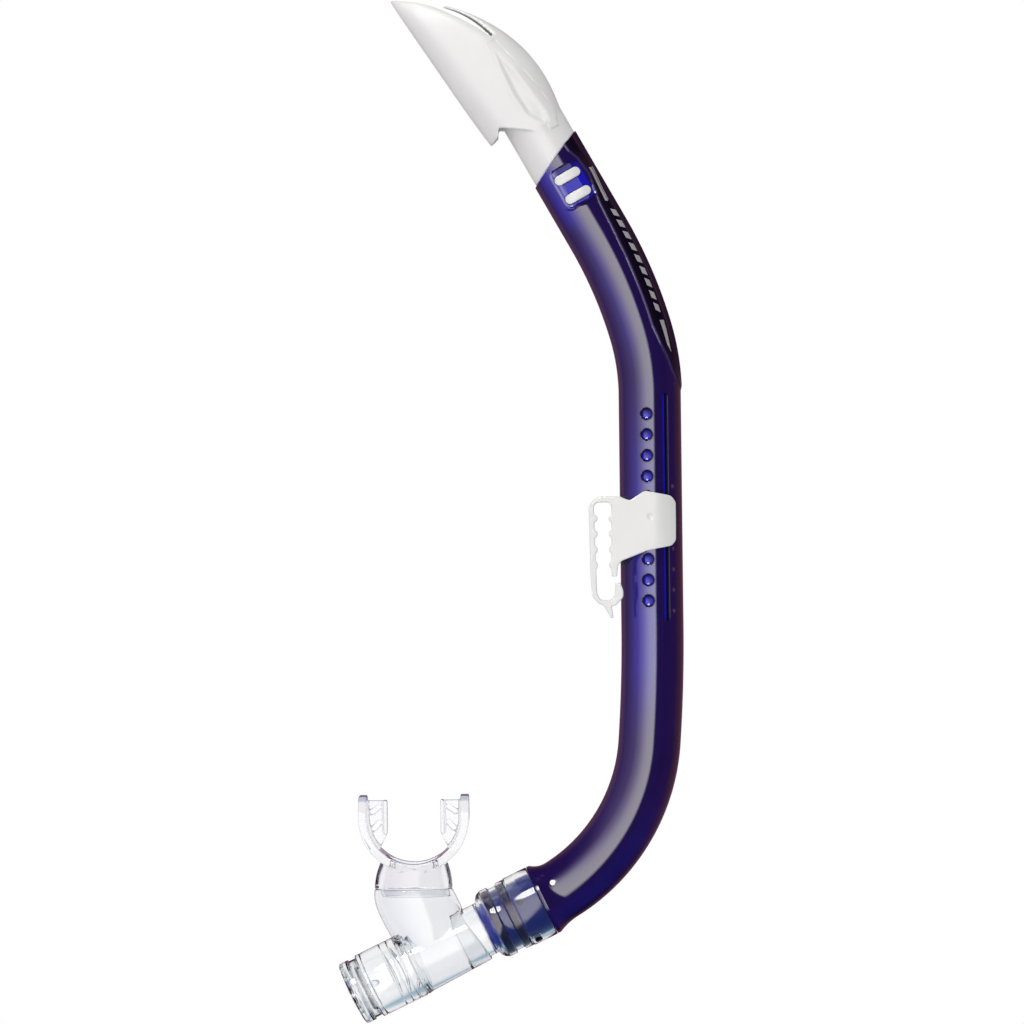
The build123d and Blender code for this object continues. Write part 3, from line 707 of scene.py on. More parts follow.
def dimple_distance(s, a):
    """Signed distance to the nearest dimple's rim, below 0 inside."""
    top = s_of_z(DIMPLE_TOP_Z)
    nearest = np.clip(np.round((top - s) / DIMPLE_PITCH), 0, DIMPLE_COUNT - 1)
    return np.hypot(s - (top - nearest * DIMPLE_PITCH), a - arc_of(DIMPLE_N)) - DIMPLE_R


def groove_distance(s, a):
    """Signed distance to the guide groove's edge."""
    foot, top = (s_of_z(z) for z in GROOVE_ENDS_Z)
    along = s - np.clip(s, foot + GROOVE_R, top - GROOVE_R)
    return np.hypot(along, a - arc_of(GROOVE_N)) - GROOVE_R


def window_distance(s, a):
    """Signed distance to the nearer window's edge, measured square to the middle plane."""
    t, n = s - SEAM_S, TUBE_R * np.sin(a / TUBE_R)
    across = np.maximum(np.abs(n - WINDOW_N) - WINDOW_HALF, 0)
    return np.minimum(*(np.hypot(t - centre, across) - WINDOW_R for centre in WINDOW_T))


def pocket_distance(s, a):
    """Signed distance to the edge of the pocket that the windows lie in."""
    t, n = s - SEAM_S, TUBE_R * np.sin(a / TUBE_R)
    half_t = (POCKET_T[1] - POCKET_T[0]) / 2 - POCKET_CORNER
    half_n = (POCKET_N[1] - POCKET_N[0]) / 2 - POCKET_CORNER
    off_t = np.abs(t - sum(POCKET_T) / 2) - half_t
    off_n = np.abs(n - sum(POCKET_N) / 2) - half_n
    outside = np.hypot(np.maximum(off_t, 0), np.maximum(off_n, 0))
    return outside + np.minimum(np.maximum(off_t, off_n), 0) - POCKET_CORNER


# The crease down the barrel's back: distance below the seam, and reach n
CREASE = (
    (8, -6.6),
    (0, -7.2),
    (-5, -9.0),
    (-13, -9.9),
    (-20, -8.7),
    (-26, -7.6),
    (-32, -7.2),
    (-47, -6.4),
    (-68, -6.0),
    (-84, -6.0),
    (-92, -7.4),
    (-97, -9.0),
    (-103, -10.4),
    (-110, -13.4),
    (-112, -13.7),
)
CREASE_STEP = 1.1
PANEL_RISE = 0.55
PANEL_SINK = 0.9
PANEL_END = -108.0
LIP_T = (20.5, 22.7)
LIP_OUT = 0.5
LIP_WIDTH = 0.6
FLARE_POWER = 2.1


def crease_arc(s):
    """Arc of the crease at s, right round to the back's middle below its lower end."""
    ts, ns = zip(*reversed(CREASE))
    return arc_of(np.interp(s - SEAM_S, ts, ns))


def crease_distance(s, a):
    """Arc from the crease, below 0 on the back panel."""
    return a - crease_arc(s)


def outer_radius(s, a):
    """The barrel's outer radius with its pocket, windows, groove, dimples and back panel."""
    r = np.full(np.shape(s), TUBE_R)
    theta = a / TUBE_R
    # Back panel: a flat facet each side, from the crease to the middle of the back
    crease = crease_arc(s)
    t = s - SEAM_S
    edge = crease / TUBE_R
    back = -math.pi / 2
    middle = (edge + back) / 2
    rise = PANEL_RISE * step(t, PANEL_END - 4, PANEL_END - 1)
    flat = (TUBE_R + rise) * np.cos((edge - back) / 2) / np.cos(theta - middle)
    bulge = np.maximum(flat, TUBE_R - PANEL_SINK)
    panel = 1 - step(a, crease - 0.15, crease + CREASE_STEP)
    above = step(t, PANEL_END - 3.2, PANEL_END - 2.8)
    r = r + (bulge - r) * panel * above
    # Pocket round the windows, with a lip under it
    pocket = pocket_distance(s, a)
    floor = np.minimum(POCKET_R, POCKET_FLOOR / np.cos(np.clip(theta, -1.2, 1.2)))
    r = r + (np.minimum(floor, r) - r) * step(-pocket, 0.0, 0.7)
    lip = np.exp(-(((pocket - LIP_OUT) / LIP_WIDTH) ** 2)) * step(-t, *LIP_T) * step(pocket, -0.1, 0.4)
    r = r + LIP_HEIGHT * lip
    r = np.where(window_distance(s, a) < -0.02, r - WINDOW_DEPTH, r)
    groove = groove_distance(s, a)
    r = r - GROOVE_DEPTH * step(-groove, 0.0, 0.25)
    rim = np.clip(dimple_distance(s, a) + DIMPLE_R, 0, DIMPLE_R)
    r = r - (np.sqrt(DIMPLE_BALL_R**2 - rim**2) - math.sqrt(DIMPLE_BALL_R**2 - DIMPLE_R**2))
    # Flared foot
    flare = np.clip((FLARE_TOP_S - s) / (FLARE_TOP_S - FLARE_EDGE_S), 0, 1)
    return r + (FLARE_R - TUBE_R) * flare**FLARE_POWER


# Painted reddish glow at the tube's thin edges, where light comes through the plastic
RED_EDGE_GLOW = (0.034, 0.014, 0.03)
# Painted glow, fainter, on the tube's side and at the bend; also the colour of the bore
MID_BLUE = (0.012, 0.012, 0.2)
# Painted glow of light through the blue plastic: on the lit front of the side, in the pocket, the groove and
# the dimples
GLOW_BLUE = (0.012, 0.014, 0.55)
# Painted shade in the windows, the groove's back half, the dimple rims and the back of the bend; also the
# black back panel's colour
NEAR_BLACK = (0.005, 0.003, 0.012)
# Painted glow of light coming out of the spigot, brightest at its nose
SPIGOT_GLOW_BLUE = (0.03, 0.045, 0.38)
NOSE_GLOW_BLUE = (0.03, 0.06, 0.8)
# Painted grey highlight along the groove's back edge
GROOVE_EDGE_HIGHLIGHT = (0.08, 0.09, 0.12)
# Painted lilac highlight along the front of the crease
CREASE_HIGHLIGHT = (0.05, 0.042, 0.11)
# Painted highlights of the small pips on the back edge, which have no relief
PIP_HIGHLIGHT = (0.16, 0.085, 0.12)
PIP_Z = 28.1
PIP_COUNT = 7
PIP_N = -9.3
POLISH = 0.5


def mixed(base, colour, share):
    """Colours with some of another mixed in by share."""
    share = np.asarray(share)[..., None]
    return base * (1 - share) + np.array(colour) * share


# In the paint, each line is a colour, how much of it, and the stretch and arc where it lies


def paint_tube_glow_and_shade(s, a):
    """The tube's deep blue with painted light and shade: a painted glow of lit blue to the front of its
    middle and in bands lower down, a painted reddish glow at its edges, and at the bend a painted glow to the
    back and painted shade at its back edge.
    """
    t = s - SEAM_S
    tint = np.broadcast_to(np.array(DEEP_BLUE), (*s.shape, 3)).copy()
    straight = step(s, s_of_z(-90), s_of_z(-40)) * (1 - step(s, s_of_z(5), s_of_z(85)))
    # Painted glow: lighter blues on the lit front of the side; at the bend, a painted glow to the back, a
    # painted reddish glow at the edges and painted shade at the bend's back edge
    tint = mixed(tint, GLOW_BLUE, 0.45 * straight * step(a, -2.5, 0.5) * (1 - step(a, 6, 13)))
    tint = mixed(tint, MID_BLUE, 0.55 * step(t, -110, -80) * step(a, 1, 5) * (1 - step(a, 7, 11)))
    tint = mixed(tint, GLOW_BLUE, 0.35 * step(t, -34, -24) * step(a, 2, 7) * (1 - step(a, 10, 15)))
    bend = 1 - step(s, s_of_z(-135), s_of_z(-95))
    tint = mixed(tint, MID_BLUE, 0.45 * bend * step(-a, 2, 7))
    tint = mixed(tint, RED_EDGE_GLOW, 0.85 * np.maximum(step(a, 13.5, 18), (1 - bend) * step(-a, 11.0, 13.0)))
    tint = mixed(tint, NEAR_BLACK, 0.8 * bend * step(-a, 11, 15))
    return tint, np.full(s.shape, POLISH)


def paint_panel(tint, polish, s, a):
    """The black back panel, and a painted lilac highlight line in front of its crease."""
    t = s - SEAM_S
    crease = crease_distance(s, a)
    above = step(t, PANEL_END - 4, PANEL_END)
    tint = mixed(tint, NEAR_BLACK, above * (1 - step(crease, -0.3, 0.3)) * (1 - 0.7 * step(-a, 15, 19)))
    # Painted highlight: a lilac line just in front of the crease
    tint = mixed(tint, CREASE_HIGHLIGHT, 0.8 * above * np.exp(-(((crease - 0.7) / 0.5) ** 2)))
    return tint, polish * (1 - 0.95 * above * (1 - step(crease, 0.4, 1.2)))


def paint_pocket_glow_and_shade(tint, polish, s, a):
    """The pocket with a painted glow, brightest between and behind its windows, and painted shade in the
    windows' dark insides.
    """
    t = s - SEAM_S
    pocket = pocket_distance(s, a)
    inside = step(-pocket, 0.1, 0.8)
    behind = 1 - step(a, 2.5, 5)
    # Painted glow on the pocket floor, brightest toward the back; painted shade in the windows below
    tint = mixed(tint, GLOW_BLUE, inside * (0.35 + 0.5 * behind) * (1 - step(t, -8, -5.5) * 0.8))
    polish = polish * (1 - 0.75 * inside * behind)
    window = window_distance(s, a)
    tint = mixed(tint, NEAR_BLACK, 1 - step(window, 0.0, 0.35))
    return tint, polish * step(window, -0.1, 0.35)


def paint_groove_glow_and_shade(tint, polish, s, a):
    """The groove: painted shade black over it, a painted glow on its front half, and a painted grey highlight
    on its back edge.
    """
    across = a - arc_of(GROOVE_N)
    groove = step(-groove_distance(s, a), -0.05, 0.25)
    # Painted shade black in the groove, a painted glow on its front half and a painted grey highlight on its
    # back edge
    tint = mixed(tint, NEAR_BLACK, groove)
    tint = mixed(tint, GLOW_BLUE, 0.9 * groove * step(across, 0.0, 0.3))
    tint = mixed(tint, GROOVE_EDGE_HIGHLIGHT, 0.7 * groove * (1 - step(across, -1.35, -0.9)))
    return tint, polish * (1 - 0.9 * groove)


def paint_dimple_shade_and_glow(tint, polish, s, a):
    """The snap dimples, with painted shade dark at the rim and a painted glow inside, brightest below."""
    rim = dimple_distance(s, a)
    bowl = step(-rim, 0.2, 1.0)
    top = s_of_z(DIMPLE_TOP_Z)
    above_middle = s - top + DIMPLE_PITCH * np.clip(np.round((top - s) / DIMPLE_PITCH), 0, DIMPLE_COUNT - 1)
    lower = 1 - step(above_middle, -1.4, 1.6)
    # Painted glow in the bowl, brightest in its lower part, and painted shade at the rim
    tint = mixed(tint, GLOW_BLUE, bowl * (0.12 + 0.7 * lower))
    tint = mixed(tint, NEAR_BLACK, 0.95 * np.exp(-((rim / 0.55) ** 2)))
    return tint, polish * (1 - 0.85 * step(-rim, -0.4, 0.3) * (1 - bowl * lower * 0.45))


def paint_pip_highlights(tint, polish, s, a):
    """Painted highlights where a row of small pips down the back edge catches the light; the pips are colour
    only.
    """
    first = s_of_z(PIP_Z)
    nearest = np.clip(np.round((first - s) / DIMPLE_PITCH), 0, PIP_COUNT - 1)
    pip = np.hypot(s - (first - nearest * DIMPLE_PITCH), a - arc_of(PIP_N))
    # Painted highlight of each pip
    return mixed(tint, PIP_HIGHLIGHT, 0.9 * np.exp(-((pip / 0.65) ** 2))), polish


def barrel_paint(s, a):
    """Colour and shine of the whole outer face, the colour with its painted glow, shade and highlights."""
    tint, polish = paint_tube_glow_and_shade(s, a)
    for paint in (paint_panel, paint_pocket_glow_and_shade, paint_groove_glow_and_shade, paint_dimple_shade_and_glow, paint_pip_highlights):
        tint, polish = paint(tint, polish, s, a)
    return tint, polish


def snap(s, a, distance, reach, near):
    """Points near a feature and within reach of its edge move onto it, so that the edge is crisp."""
    small = 0.01
    d = distance(s, a)
    gs = (distance(s + small, a) - distance(s - small, a)) / (2 * small)
    ga = (distance(s, a + small) - distance(s, a - small)) / (2 * small)
    size = np.maximum(gs**2 + ga**2, 1e-6)
    on = (np.abs(d) < reach) & near
    return np.where(on, s - d * gs / size, s), np.where(on, a - d * ga / size, a)


def barrel_rows():
    """Distances s of the outer rows from the seam down to the flared face, closer where there is detail."""
    below_pocket = SEAM_S - 29
    above_groove = s_of_z(68.4) + 4
    below_groove = s_of_z(-33)
    # Each stretch's top, foot and pitch
    stretches = (
        (SEAM_S, below_pocket, 0.38),
        (below_pocket, above_groove, 0.9),
        (above_groove, below_groove, 0.4),
        (below_groove, FLARE_TOP_S, 1.3),
        (FLARE_TOP_S, FLARE_EDGE_S, 0.6),
    )
    rows = []
    for high, low, pitch in stretches:
        count = max(1, round((high - low) / pitch))
        rows += [high - (high - low) * i / count for i in range(count)]
    return np.array([*rows, FLARE_EDGE_S])


FINE_ARC = 9.8
FINE_COLUMNS, COARSE_COLUMNS = 28, 20


def barrel_columns():
    """Arcs from the side's middle for one side's columns, closer near the middle."""
    quarter = math.pi / 2 * TUBE_R
    inner = np.linspace(0, FINE_ARC, FINE_COLUMNS, endpoint=False)
    outer = np.linspace(FINE_ARC, quarter, COARSE_COLUMNS, endpoint=False)
    half = np.concatenate([inner, outer])
    return np.concatenate([[-quarter], -half[:0:-1], half])


# The flared face and the spigot below it, by distance w down the swivel axis and radius
SPIGOT_PROFILE = (
    (0.0, 16.1),
    (0.0, 13.9),
    (0.3, 13.65),
    (6.9, 13.65),
    (6.9, 12.75),
    (10.5, 12.75),
    (10.5, 13.65),
    (22.8, 13.65),
    (23.2, 13.3),
    (23.2, 11.2),
    (23.5, 10.95),
    (27.5, 10.95),
    (27.9, 10.6),
    (27.9, 9.9),
    (27.6, 9.6),
    (23.2, 9.6),
    (20.2, 11.9),
    (10.0, 11.9),
)
SPIGOT_TOP_W = 0.1
SPIGOT_FOOT_W = 23.0
SPIGOT_POLISH = 0.1
SEAM_BLEND = 13.0
SNAP_REACH = 0.2
CREASE_ARC = 19.0
DETAIL_ARC = 11.0
BORE_FROM = 0.5
BORE_STEP = 3.5
BARREL_ANGLE = 28.0


def make_barrel():
    """The whole barrel as one closed skin: outside, spigot and bore, painted point by point."""
    columns = barrel_columns()
    # Round the tube: the near side from front to back, then the far side from back to front
    arcs = np.concatenate([columns[::-1], columns[1:]])
    sides = np.repeat([1, -1], [len(columns), len(columns) - 1])
    s, a = np.meshgrid(barrel_rows(), arcs, indexing="ij")
    side = np.broadcast_to(sides, s.shape)
    # The top rows lean to the seam's slant
    share = np.clip((s - SEAM_S + SEAM_BLEND) / SEAM_BLEND, 0, 1)
    s = s - TUBE_R * np.sin(a / TUBE_R) * math.tan(SEAM_SLANT) * share
    free = np.ones(s.shape, bool)
    free[0] = False
    for distance in (crease_distance, pocket_distance, window_distance, groove_distance, dimple_distance):
        near = np.abs(a) < (CREASE_ARC if distance is crease_distance else DETAIL_ARC)
        s, a = snap(s, a, distance, SNAP_REACH, near & free)
    phi = np.where(side > 0, math.pi / 2 - a / TUBE_R, 1.5 * math.pi + a / TUBE_R)
    tint, polish = barrel_paint(s, a)
    around = phi[-1]
    blocks, tints, polishes = [tube_points(s, phi, outer_radius(s, a))], [tint], [polish]

    def ring(row_s, radius, colour, shine):
        blocks.append(tube_points(row_s, around, radius)[None])
        tints.append(np.broadcast_to(np.array(colour), (1, len(around), 3)))
        polishes.append(np.full((1, len(around)), shine))

    # The spigot's rings: deep blue at the flared face, then a painted glow, brightest at the nose
    for w, radius in SPIGOT_PROFILE:
        colour = DEEP_BLUE if w < SPIGOT_TOP_W else SPIGOT_GLOW_BLUE if w < SPIGOT_FOOT_W else NOSE_GLOW_BLUE
        ring(np.full(around.shape, -w), radius, colour, SPIGOT_POLISH)
    for value in np.arange(BORE_FROM, SEAM_S - SEAM_BLEND - 1, BORE_STEP):
        ring(np.full(around.shape, value), BORE_R, MID_BLUE, POLISH)
    ring(SEAM_S - BORE_R * np.cos(around) * math.tan(SEAM_SLANT), BORE_R, MID_BLUE, POLISH)
    points = np.concatenate(blocks)
    count, width = points.shape[:2]
    faces = ring_faces(count, width)
    made = make_object("barrel_tube", points.reshape(-1, 3), faces, blue_plastic, BARREL_ANGLE)
    colours = np.concatenate(tints).reshape(-1, 3)
    colours = np.concatenate([colours, np.ones((len(colours), 1))], 1)
    attribute = made.data.attributes.new("tint", "FLOAT_COLOR", "POINT")
    attribute.data.foreach_set("color", colours.ravel().astype(np.float32))
    attribute = made.data.attributes.new("polish", "FLOAT", "POINT")
    attribute.data.foreach_set("value", np.concatenate(polishes).ravel().astype(np.float32))
    return claim(made, "barrel", "barrel")


make_barrel()


# ---- what lies on the barrel: latch pads and print ----

PAD_TOP_R = 13.5
PAD_FOOT_R = 12.0
PAD_HALF = 4.1
PAD_R = 2.15
PAD_EDGE = 0.5
PAD_TURNS = 72
# Scale of the outline and radius of each row, from the pad's foot over its eased edge to its top
PAD_ROWS = (
    (1.0, PAD_FOOT_R),
    (1.0, PAD_TOP_R - PAD_EDGE),
    (0.97, PAD_TOP_R - 0.2),
    (0.9, PAD_TOP_R - 0.04),
    (0.8, PAD_TOP_R),
    (0.5, PAD_TOP_R),
    (0.25, PAD_TOP_R),
)


def on_side(t, n, r):
    """Points on the near side, t up from the seam and reach n to the front, at radius r."""
    phi = math.pi / 2 - np.arcsin(np.clip(np.asarray(n, float) / r, -1, 1))
    return tube_points(SEAM_S + np.asarray(t, float) + 0 * phi, phi, r)


def latch_pad(name, centre, side):
    """A round-ended pad that fills a window on the near side (1) or the far side (-1)."""
    angles = np.arange(PAD_TURNS) * math.tau / PAD_TURNS
    reach = PAD_HALF * np.sign(np.sin(angles)) * (np.abs(np.sin(angles)) > 1e-6)
    rows = []
    for scale, r in PAD_ROWS:
        t = centre + PAD_R * scale * np.cos(angles)
        n = WINDOW_N + reach * min(1, scale + 0.1) + PAD_R * scale * np.sin(angles)
        rows.append(on_side(t, n, r))
    points = np.concatenate(rows)
    if side < 0:
        points[:, 1] = 2 * barrel_y / MM - points[:, 1]
    made = make_object(name, points, capped(len(rows), PAD_TURNS), white_plastic, FLAT_ANGLE)
    return claim(made, None, "barrel")


for side, where in ((1, "near"), (-1, "far")):
    for i, centre in enumerate(WINDOW_T):
        latch_pad(f"latch_pad_{where}_{i + 1}", centre, side)

INK_RISE = (0.02, 0.05)
INK_STEP = 0.8


def printed(name, outline):
    """A flat mark on the near side, its corners (t, n) from the upper front down and round."""
    corners = [np.array(p, float) for p in outline]
    rows = max(2, round(np.linalg.norm(corners[1] - corners[0]) / INK_STEP))
    cols = max(2, round(np.linalg.norm(corners[3] - corners[0]) / INK_STEP) + 1)
    layers = []
    for rise in INK_RISE:
        grid = []
        for i in range(rows + 1):
            for j in range(cols + 1):
                u, v = i / rows, j / cols
                front = corners[0] * (1 - u) + corners[1] * u
                back = corners[3] * (1 - u) + corners[2] * u
                t, n = front * (1 - v) + back * v
                s = np.array([SEAM_S + t])
                a = arc_of([n])
                r = outer_radius(s, a) + rise
                grid.append(tube_points(s, math.pi / 2 - a / TUBE_R, r)[0])
        layers.append(grid)
    width = cols + 1
    count = (rows + 1) * width
    faces = []
    for layer in (0, count):
        for i in range(rows):
            for j in range(cols):
                a0 = layer + i * width + j
                faces.append((a0, a0 + 1, a0 + width + 1, a0 + width))
    edge = [*range(cols)] + [i * width + cols for i in range(rows)]
    edge += [rows * width + j for j in range(cols, 0, -1)] + [i * width for i in range(rows, 0, -1)]
    for first, second in zip(edge, edge[1:] + edge[:1]):
        faces.append((first, second, second + count, first + count))
    made = make_object(name, layers[0] + layers[1], faces, silver_ink, FLAT_ANGLE)
    return claim(made, None, "barrel")


# Two bars with a thin line beside the upper one, and a row of slanted dashes between them
printed("print_bar_upper", ((-10.6, -11.0), (-27.0, -10.55), (-27.6, -11.6), (-11.1, -12.5)))
printed("print_line_upper", ((-10.8, -12.85), (-27.0, -11.85), (-27.1, -12.15), (-10.9, -13.15)))
printed("print_bar_lower", ((-82.5, -10.0), (-92.7, -10.5), (-96.1, -11.7), (-82.8, -11.9)))
DASH_COUNT = 9
DASH_FROM, DASH_TO = -31.0, -80.0
DASH_PITCH = (DASH_TO - DASH_FROM) / DASH_COUNT
DASH_SHARE = 0.62
DASH_FRONT = -10.6
DASH_DRIFT = 1.0
DASH_REACH = 2.1
DASH_TAPER = 0.2
DASH_SLANT = 1.6
for i in range(DASH_COUNT):
    top = DASH_FROM + DASH_PITCH * i
    low = top + DASH_SHARE * DASH_PITCH
    front = DASH_FRONT + DASH_DRIFT * i / DASH_COUNT
    back = front - DASH_REACH + DASH_TAPER * i / DASH_COUNT
    outline = ((top, front), (low, front), (low - DASH_SLANT, back), (top - DASH_SLANT, back))
    printed(f"print_dash_{i + 1}", outline)

# ---- pieces from the CAD shapes ----

# The guard by t up from the seam: half its width, its corner radius, and the reach n of its back
GUARD_WIDTHS = (
    (-5.5, 13.3, 12.6, -13.4),
    (20.5, 13.4, 12.6, -13.7),
    (43.1, 13.2, 12.0, -14.0),
    (61.2, 12.4, 11.0, -8.2),
)
# The dish's front and rear edges as (t, n), and its ends
DISH_FRONT = ((14.5, -6.0), (16.0, -3.0), (18.7, -0.8), (23.0, 1.5), (33.5, 2.0), (45.6, 1.0), (56.1, -1.0))
DISH_BACK = ((14.5, -6.2), (16.0, -7.4), (20.5, -7.9), (31.4, -6.6), (43.7, -4.4), (56.1, -1.0))
DISH_ENDS = (14.5, 56.1)
DISH_DEPTH = 1.15
DISH_SLOPE = 2.2
REAR_SHARE, END_SHARE = 0.55, 0.5
SKIN = 1.25
DISH_MARGIN = 1.5
DISH_SPAN = (12, 58.5)


def guard_places(points):
    """t, n and distance from the middle plane of points in the guard, in millimetres."""
    x, z, lean = (float(v[0]) for v in centreline([SEAM_S]))
    dx, dz = points[:, 0] / MM - x, points[:, 2] / MM - z
    t = -math.sin(lean) * dx + math.cos(lean) * dz
    n = -math.cos(lean) * dx - math.sin(lean) * dz
    return t, n, points[:, 1] / MM - barrel_y / MM


def mesh_points(made):
    """The object's points in metres, one to a row."""
    points = np.empty(len(made.data.vertices) * 3, np.float32)
    made.data.vertices.foreach_get("co", points)
    return points.reshape(-1, 3).astype(float)


def move_points(made, points):
    """Put the object's points in new places."""
    made.data.vertices.foreach_set("co", points.astype(np.float32).ravel())
    made.data.update()


def scoop_guard(made):
    """Fill the flat finger dishes and scoop them out again with a soft, tear-shaped slope."""
    points = mesh_points(made)
    t, n, y = guard_places(points)
    at, half, corner, back = (np.array(column) for column in zip(*GUARD_WIDTHS))
    half, corner, back = (np.interp(t, at, values) for values in (half, corner, back))
    into = np.maximum(back + corner - n, 0)
    side = half - corner + np.sqrt(np.maximum(corner**2 - into**2, 0))
    front = np.interp(t, *zip(*DISH_FRONT))
    rear = np.interp(t, *zip(*DISH_BACK))
    inside = np.minimum(front - n, (n - rear) * REAR_SHARE)
    inside = np.minimum(inside, (t - DISH_ENDS[0]) * END_SHARE)
    inside = np.minimum(inside, (DISH_ENDS[1] - t) * END_SHARE)
    depth = DISH_DEPTH * step(inside, 0.0, DISH_SLOPE)
    skin = (np.abs(y) > side - SKIN) & (inside > -DISH_MARGIN) & (t > DISH_SPAN[0]) & (t < DISH_SPAN[1])
    points[skin, 1] = barrel_y + (np.sign(y) * (side - depth))[skin] * MM
    move_points(made, points)


guard = soften("splash_guard", "splash_guard_shell", 0.42, 8, white_plastic, "barrel")
scoop_guard(guard)

# The keeper's thumb dimple by x and z, on the face that stands out nearest the camera
THUMB_DIMPLE = (20.9, 15.0)
THUMB_DIMPLE_R = (0.2, 2.0)
THUMB_DIMPLE_DEPTH = 0.4
THUMB_FACE_Y = -1.0


def press_thumb_dimple(made):
    """Push a shallow round dimple into the keeper's near face."""
    points = mesh_points(made)
    off = np.hypot(points[:, 0] / MM - THUMB_DIMPLE[0], points[:, 2] / MM - THUMB_DIMPLE[1])
    face = points[:, 1] < THUMB_FACE_Y * MM
    points[face, 1] += (THUMB_DIMPLE_DEPTH * MM * (1 - step(off, *THUMB_DIMPLE_R)))[face]
    move_points(made, points)


clip = soften("keeper", "keeper_clip", 0.28, 6, white_plastic, "keeper")
press_thumb_dimple(clip)

# ---- coupling, seals and purge, turned about the swivel axis ----

SEAL_W = (13.9, 21.6)
SEAL_HALF = 1.6
SEAL_R = (13.7, 14.95)
GROOVE_GAP = 0.1
COLLAR_BORE = 13.73


def seal_groove(w):
    """The groove around one seal, a little wider than the ring."""
    half, deep = SEAL_HALF + GROOVE_GAP, SEAL_R[1] + GROOVE_GAP
    return ((w + half, COLLAR_BORE), (w + half, deep), (w - half, deep), (w - half, COLLAR_BORE))


COUPLING_PROFILE = (
    (0.3, COLLAR_BORE),
    (0.3, 16.2),
    (11.3, 16.2),
    (11.6, 15.9),
    (15.5, 15.9),
    (15.8, 14.95),
    (19.6, 14.95),
    (19.8, 15.9),
    (23.2, 15.9),
    (25.2, 15.0),
    (26.7, 13.0),
    (27.0, 12.0),
    (40.0, 12.0),
    (40.0, 10.4),
    (28.2, 10.4),
    (28.2, 11.05),
    (23.5, 11.05),
    (23.5, COLLAR_BORE),
    *seal_groove(SEAL_W[1]),
    *seal_groove(SEAL_W[0]),
)
collar = lathe("coupling_collar", COUPLING_PROFILE, clear_plastic, 0.35)
claim(collar, "coupling", "mouth_unit")


def seal_profile(w):
    """The outline of the ring whose middle is at w."""
    low, high = SEAL_R
    return ((w - SEAL_HALF, low), (w - SEAL_HALF, high), (w + SEAL_HALF, high), (w + SEAL_HALF, low))


rings = [lathe(f"seal_{i}", seal_profile(w), seal_rubber, 0.6) for i, w in enumerate(SEAL_W)]
seals = joined("seal_rings", *rings)
claim(seals, "swivel_seals", "mouth_unit", seal_rubber)

PEG_W = 8.7
PEG_R = 1.6
PEG_RS = (12.95, 15.2)
PEG_EASE = 0.3
PEG_TURNS = 32
PEG_COUNT = 4
PEG_ANGLE = math.radians(20)


def make_peg(i):
    """A locking peg in the collar's wall: a short round pin with an eased outer end."""
    phi = PEG_ANGLE + math.tau / PEG_COUNT * i
    outward = about_swivel(PEG_W, 1, phi) - about_swivel(PEG_W, 0, phi)
    along = np.array(swivel_dir)
    across = np.cross(outward, along)
    rows = ((PEG_RS[0], PEG_R), (PEG_RS[1] - PEG_EASE, PEG_R), (PEG_RS[1], PEG_R - PEG_EASE))
    points = []
    for r, size in rows:
        middle = about_swivel(PEG_W, r, phi)
        for j in range(PEG_TURNS):
            angle = math.tau * j / PEG_TURNS
            points.append(middle + size * (math.cos(angle) * along + math.sin(angle) * across))
    faces = capped(len(rows), PEG_TURNS)
    peg = make_object(f"locking_peg_{i + 1}", points, faces, peg_plastic, FLAT_ANGLE)
    return claim(peg, None, "mouth_unit")


for i in range(PEG_COUNT):
    make_peg(i)

HOUSING_R = 14.8
RING_LINES = (66.6, 69.8, 73.2, 82.7)
LINE_HALF = 0.3
LINE_DEPTH = 0.4
HOUSING_PROFILE = [(60.0, 11.2), (60.0, 12.55), (63.25, 12.55), (63.25, HOUSING_R)]
for w in RING_LINES:
    HOUSING_PROFILE += [(w - LINE_HALF, HOUSING_R), (w, HOUSING_R - LINE_DEPTH), (w + LINE_HALF, HOUSING_R)]
HOUSING_PROFILE += [(84.9, HOUSING_R), (84.9, 13.7), (88.3, 13.7), (88.3, 12.2), (84.6, 12.2), (84.6, 11.2)]
housing = lathe("purge_chamber", HOUSING_PROFILE, clear_plastic, 0.3)
claim(housing, "purge_housing", "mouth_unit")

VALVE_PROFILE = (
    (86.9, 0),
    (86.6, 10.2),
    (86.1, 10.6),
    (86.1, 1.0),
    (82.8, 0.95),
    (82.4, 1.6),
    (81.2, 1.6),
    (79.6, 0.6),
    (79.6, 0),
)
valve = filled_lathe("purge_flap_disc", VALVE_PROFILE, valve_silicone, 0.15, 96)
claim(valve, "purge_valve", "purge_flap")

# The cap from the middle of its inner face round its rim to the middle of its outer face
COVER_PROFILE = (
    (92.5, 0),
    (92.3, 8.0),
    (91.4, 12.2),
    (90.0, 12.2),
    (88.6, 11.2),
    (87.6, 11.2),
    (87.6, 12.15),
    (88.4, 12.15),
    (88.4, 14.4),
    (92.4, 14.4),
    (93.1, 13.6),
    (93.7, 8.0),
    (93.9, 0),
)
SLOT_COUNT = 8
SLOT_RING_R = 7.2
SLOT_HALF = 2.1
SLOT_R = 1.2
SLOT_W = (90.5, 95.5)
SLOT_TURNS = 32


def slot_cutter(i):
    """A round-ended bar along the swivel axis that cuts one exhaust slot."""
    phi = math.tau / SLOT_COUNT * i
    points = []
    for w in SLOT_W:
        for j in range(SLOT_TURNS):
            angle = math.tau * j / SLOT_TURNS
            r = SLOT_RING_R + SLOT_HALF * (1 if math.cos(angle) > 0 else -1) + SLOT_R * math.cos(angle)
            x = SLOT_R * math.sin(angle)
            points.append(about_swivel(w, math.hypot(r, x), phi + math.atan2(x, r)))
    return make_object(f"slot_{i}", points, capped(len(SLOT_W), SLOT_TURNS), clear_plastic)


